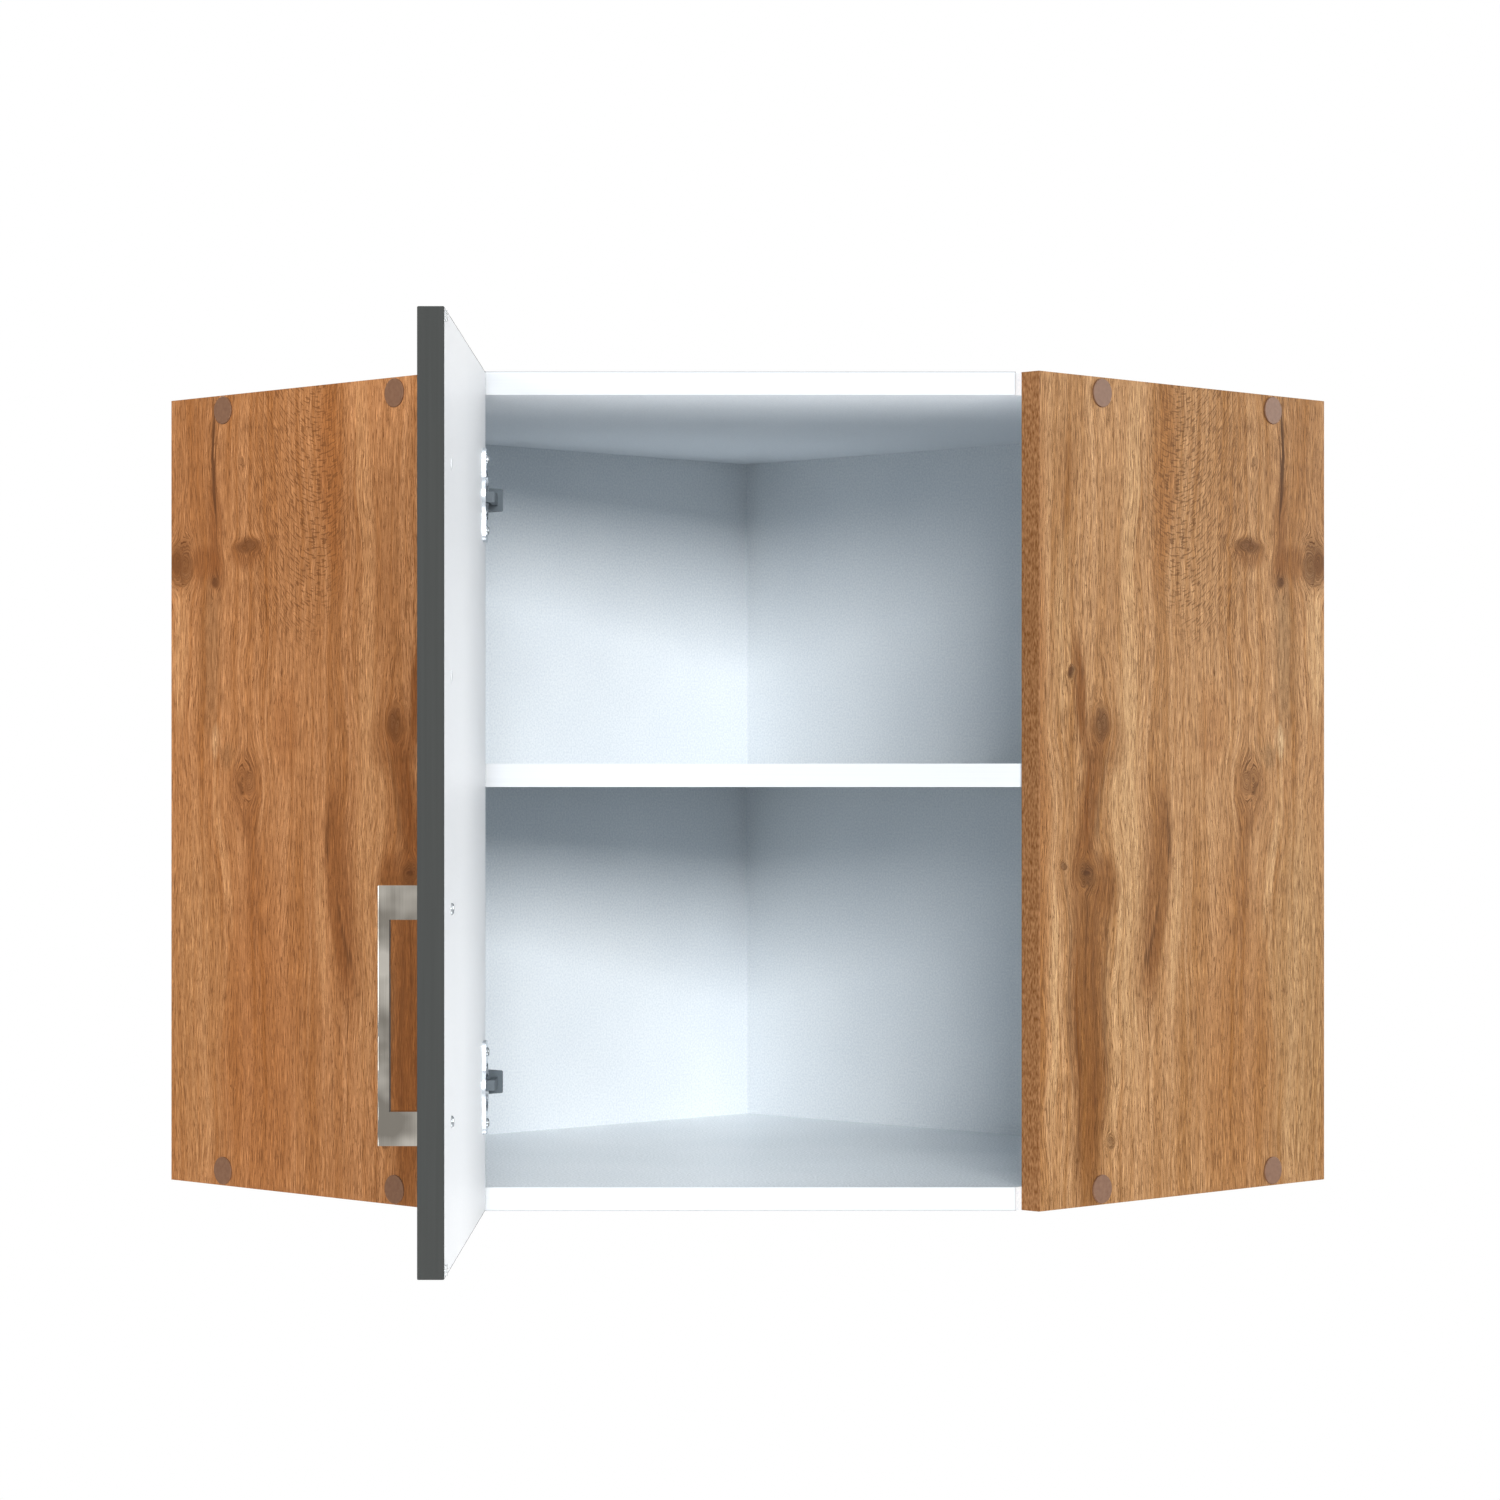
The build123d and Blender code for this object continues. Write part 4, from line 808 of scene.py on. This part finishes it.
# Phosphated steel: a matt, crystalline mid grey that takes the light softly from any side. Its crystals
# are far finer than the 1.1 mm that they are drawn at.
dull_finish, dull = new_finish("phosphated_steel")
place = add(dull, "ShaderNodeTexCoord").node.outputs["Object"]
crystals = add(dull, "ShaderNodeTexNoise", {"Vector": place, "Scale": METRE / 1.1, "Detail": 2.0})
tone = add(dull, "ShaderNodeMix", {
    "Factor": crystals, "A": linear("#535B61"), "B": linear("#5F6970"),
}, data_type="RGBA")
grit = add(dull, "ShaderNodeBump", {"Height": crystals, "Strength": 0.15, "Distance": 0.0002})
surface = add(dull, "ShaderNodeBsdfPrincipled", {
    "Base Color": tone, "Roughness": 0.6, "Specular IOR Level": 0.3, "Normal": grit,
})
add(dull, "ShaderNodeOutputMaterial", {"Surface": surface})
dress(dull_finish, "hinge_arm_top", "hinge_arm_bottom", "hinge_plate_top", "hinge_plate_bottom")
HINGE_RISES = (486.5, 86.5)
SIDE_INSIDE = (0, 1, 0)
CUP_SCREW = {"Head radius": 3.2, "Head height": 1.6, "Shank radius": 1.6, "Length": 13.6}
CUP_SCREW_AT = (351.26, -598.95)
CUP_SCREW_STEPS = (-24, 24)
drive_screws("cup_screws", "door", CUP_SCREW, {
    DOOR_INSIDE: [(*CUP_SCREW_AT, rise + step) for rise in HINGE_RISES for step in CUP_SCREW_STEPS],
})
PLATE_SCREW = {"Head radius": 3.6, "Head height": 2.0, "Shank radius": 2.0, "Length": 14.0}
PLATE_SCREW_AT = (280, -580)
PLATE_SCREW_STEPS = (-17, 17)
drive_screws("hinge_plate_screws", "carcass", PLATE_SCREW, {
    SIDE_INSIDE: [(*PLATE_SCREW_AT, rise + step) for rise in HINGE_RISES for step in PLATE_SCREW_STEPS],
})
ARM_SCREW = {"Head radius": 3.8, "Head height": 2.2, "Shank radius": 2.2, "Length": 26.0}
ARM_SCREWS_AT = ((292, -556), (272, -556))
drive_screws("hinge_arm_screws", "carcass", ARM_SCREW, {
    SIDE_INSIDE: [(*at, rise) for rise in HINGE_RISES for at in ARM_SCREWS_AT],
})


# Floor, light and camera
# The cabinet hangs over a pale floor in a plain white studio. A broad lamp far in front lights it almost
# level, soft boxes stand at each hand, above and below, and one behind lights the faces that meet the wall.
FLOOR_DROP = 1.4
FLOOR_RADIUS = 1.8
FLOOR_X = 0.3
FLOOR_Y = -0.3
RIM_STEPS = 96
floor_mesh = bpy.data.meshes.new("floor")
rim = []
for step in range(RIM_STEPS):
    turn = math.tau * step / RIM_STEPS
    rim_x = FLOOR_X + FLOOR_RADIUS * math.cos(turn)
    rim_y = FLOOR_Y + FLOOR_RADIUS * math.sin(turn)
    rim.append((rim_x, rim_y, -FLOOR_DROP))
floor_mesh.from_pydata(rim, [], [list(range(RIM_STEPS))])
floor = bpy.data.objects.new("floor", floor_mesh)
scene.collection.objects.link(floor)

# Painted pale floor that fades out at its rim into the white of the studio.
FADE_START = 0.9
FADE_END = 1.75
paint_finish, paint = new_finish("painted_pale_floor")
place = add(paint, "ShaderNodeTexCoord").node.outputs["Object"]
speck = add(paint, "ShaderNodeTexNoise", {"Vector": place, "Scale": METRE / 25, "Detail": 3.0})
tone = add(paint, "ShaderNodeMix", {
    "Factor": speck, "A": linear("#F0F0EF"), "B": linear("#F5F5F4"),
}, data_type="RGBA")
from_middle = add(paint, "ShaderNodeMapping", {
    "Vector": place, "Location": (FLOOR_X, FLOOR_Y, -FLOOR_DROP),
}, vector_type="TEXTURE")
out = add(paint, "ShaderNodeVectorMath", {0: from_middle}, operation="LENGTH")
fade = add(paint, "ShaderNodeMapRange", {
    "Value": out, "From Min": FADE_START, "From Max": FADE_END, "To Min": 1.0, "To Max": 0.0,
}, interpolation_type="SMOOTHSTEP")
surface = add(paint, "ShaderNodeBsdfPrincipled", {"Base Color": tone, "Roughness": 0.8, "Alpha": fade})
add(paint, "ShaderNodeOutputMaterial", {"Surface": surface})
floor_mesh.materials.append(paint_finish)

# The studio is white to the camera and in reflections, and dimmer as a light.
STUDIO_LIGHT = 0.06
studio = bpy.data.worlds.new("white_studio")
scene.world = studio
studio.use_nodes = True
air = studio.node_tree
air.nodes.clear()
rays = add(air, "ShaderNodeLightPath").node.outputs
seen = add(air, "ShaderNodeMath", {0: rays["Is Camera Ray"], 1: rays["Is Glossy Ray"]}, operation="MAXIMUM")
seen = add(air, "ShaderNodeMath", {0: seen, 1: rays["Is Transmission Ray"]}, operation="MAXIMUM")
level = add(air, "ShaderNodeMapRange", {"Value": seen, "To Min": STUDIO_LIGHT, "To Max": 1.0})
shown = add(air, "ShaderNodeBackground", {"Color": (1, 1, 1, 1), "Strength": level})
add(air, "ShaderNodeOutputWorld", {"Surface": shown})

# Lamps: bearing to the right of the camera and height in degrees, distance, width and height in metres,
# and watts. All of them face the middle of the cabinet.
CAMERA_BEARING = 45
middle = Vector((0.28, -0.28, 0.29))
LAMPS = (
    ("front_lamp", 9.5, 10.8, 16.0, 6.4, 3.2, 2500.0),
    ("right_soft_box", 98, 8, 3.0, 2.0, 1.6, 62.0),
    ("left_soft_box", -50, 8, 3.0, 1.6, 1.6, 50.0),
    ("high_soft_box", 0, 50, 3.0, 1.6, 1.6, 16.0),
    ("low_soft_box", 0, -60, 1.3, 1.0, 1.0, 10.5),
    ("rear_soft_box", 207, 25, 3.5, 2.4, 2.4, 80.0),
)
for name, bearing, height, distance, wide, tall, watts in LAMPS:
    turn = math.radians(CAMERA_BEARING + bearing)
    lift = math.radians(height)
    level_reach = math.cos(lift)
    towards = Vector((math.sin(turn) * level_reach, -math.cos(turn) * level_reach, math.sin(lift)))
    lamp = bpy.data.lights.new(name, "AREA")
    lamp.shape = "RECTANGLE"
    lamp.size = wide
    lamp.size_y = tall
    lamp.energy = watts
    stand = bpy.data.objects.new(name, lamp)
    stand.location = middle + towards * distance
    stand.rotation_mode = "QUATERNION"
    stand.rotation_quaternion = (-towards).to_track_quat("-Z", "Y")
    stand.visible_camera = False
    scene.collection.objects.link(stand)

# The camera stands 3.45 m from the room corner, about level with the middle of the cabinet. It isn't
# tilted: a small shift of its lens puts the cabinet where it is in the frame.
CAMERA_AT = (2.4367, -2.4424, 0.2946)
CAMERA_AIM = (-0.7058, 0.7084, 0)
lens = bpy.data.cameras.new("photo_camera")
lens.sensor_width = 36
lens.lens = 98.65
lens.shift_y = 0.0195
camera = bpy.data.objects.new("photo_camera", lens)
camera.location = CAMERA_AT
camera.rotation_mode = "QUATERNION"
camera.rotation_quaternion = Vector(CAMERA_AIM).to_track_quat("-Z", "Y")
scene.collection.objects.link(camera)
scene.camera = camera
scene.view_settings.view_transform = "Standard"
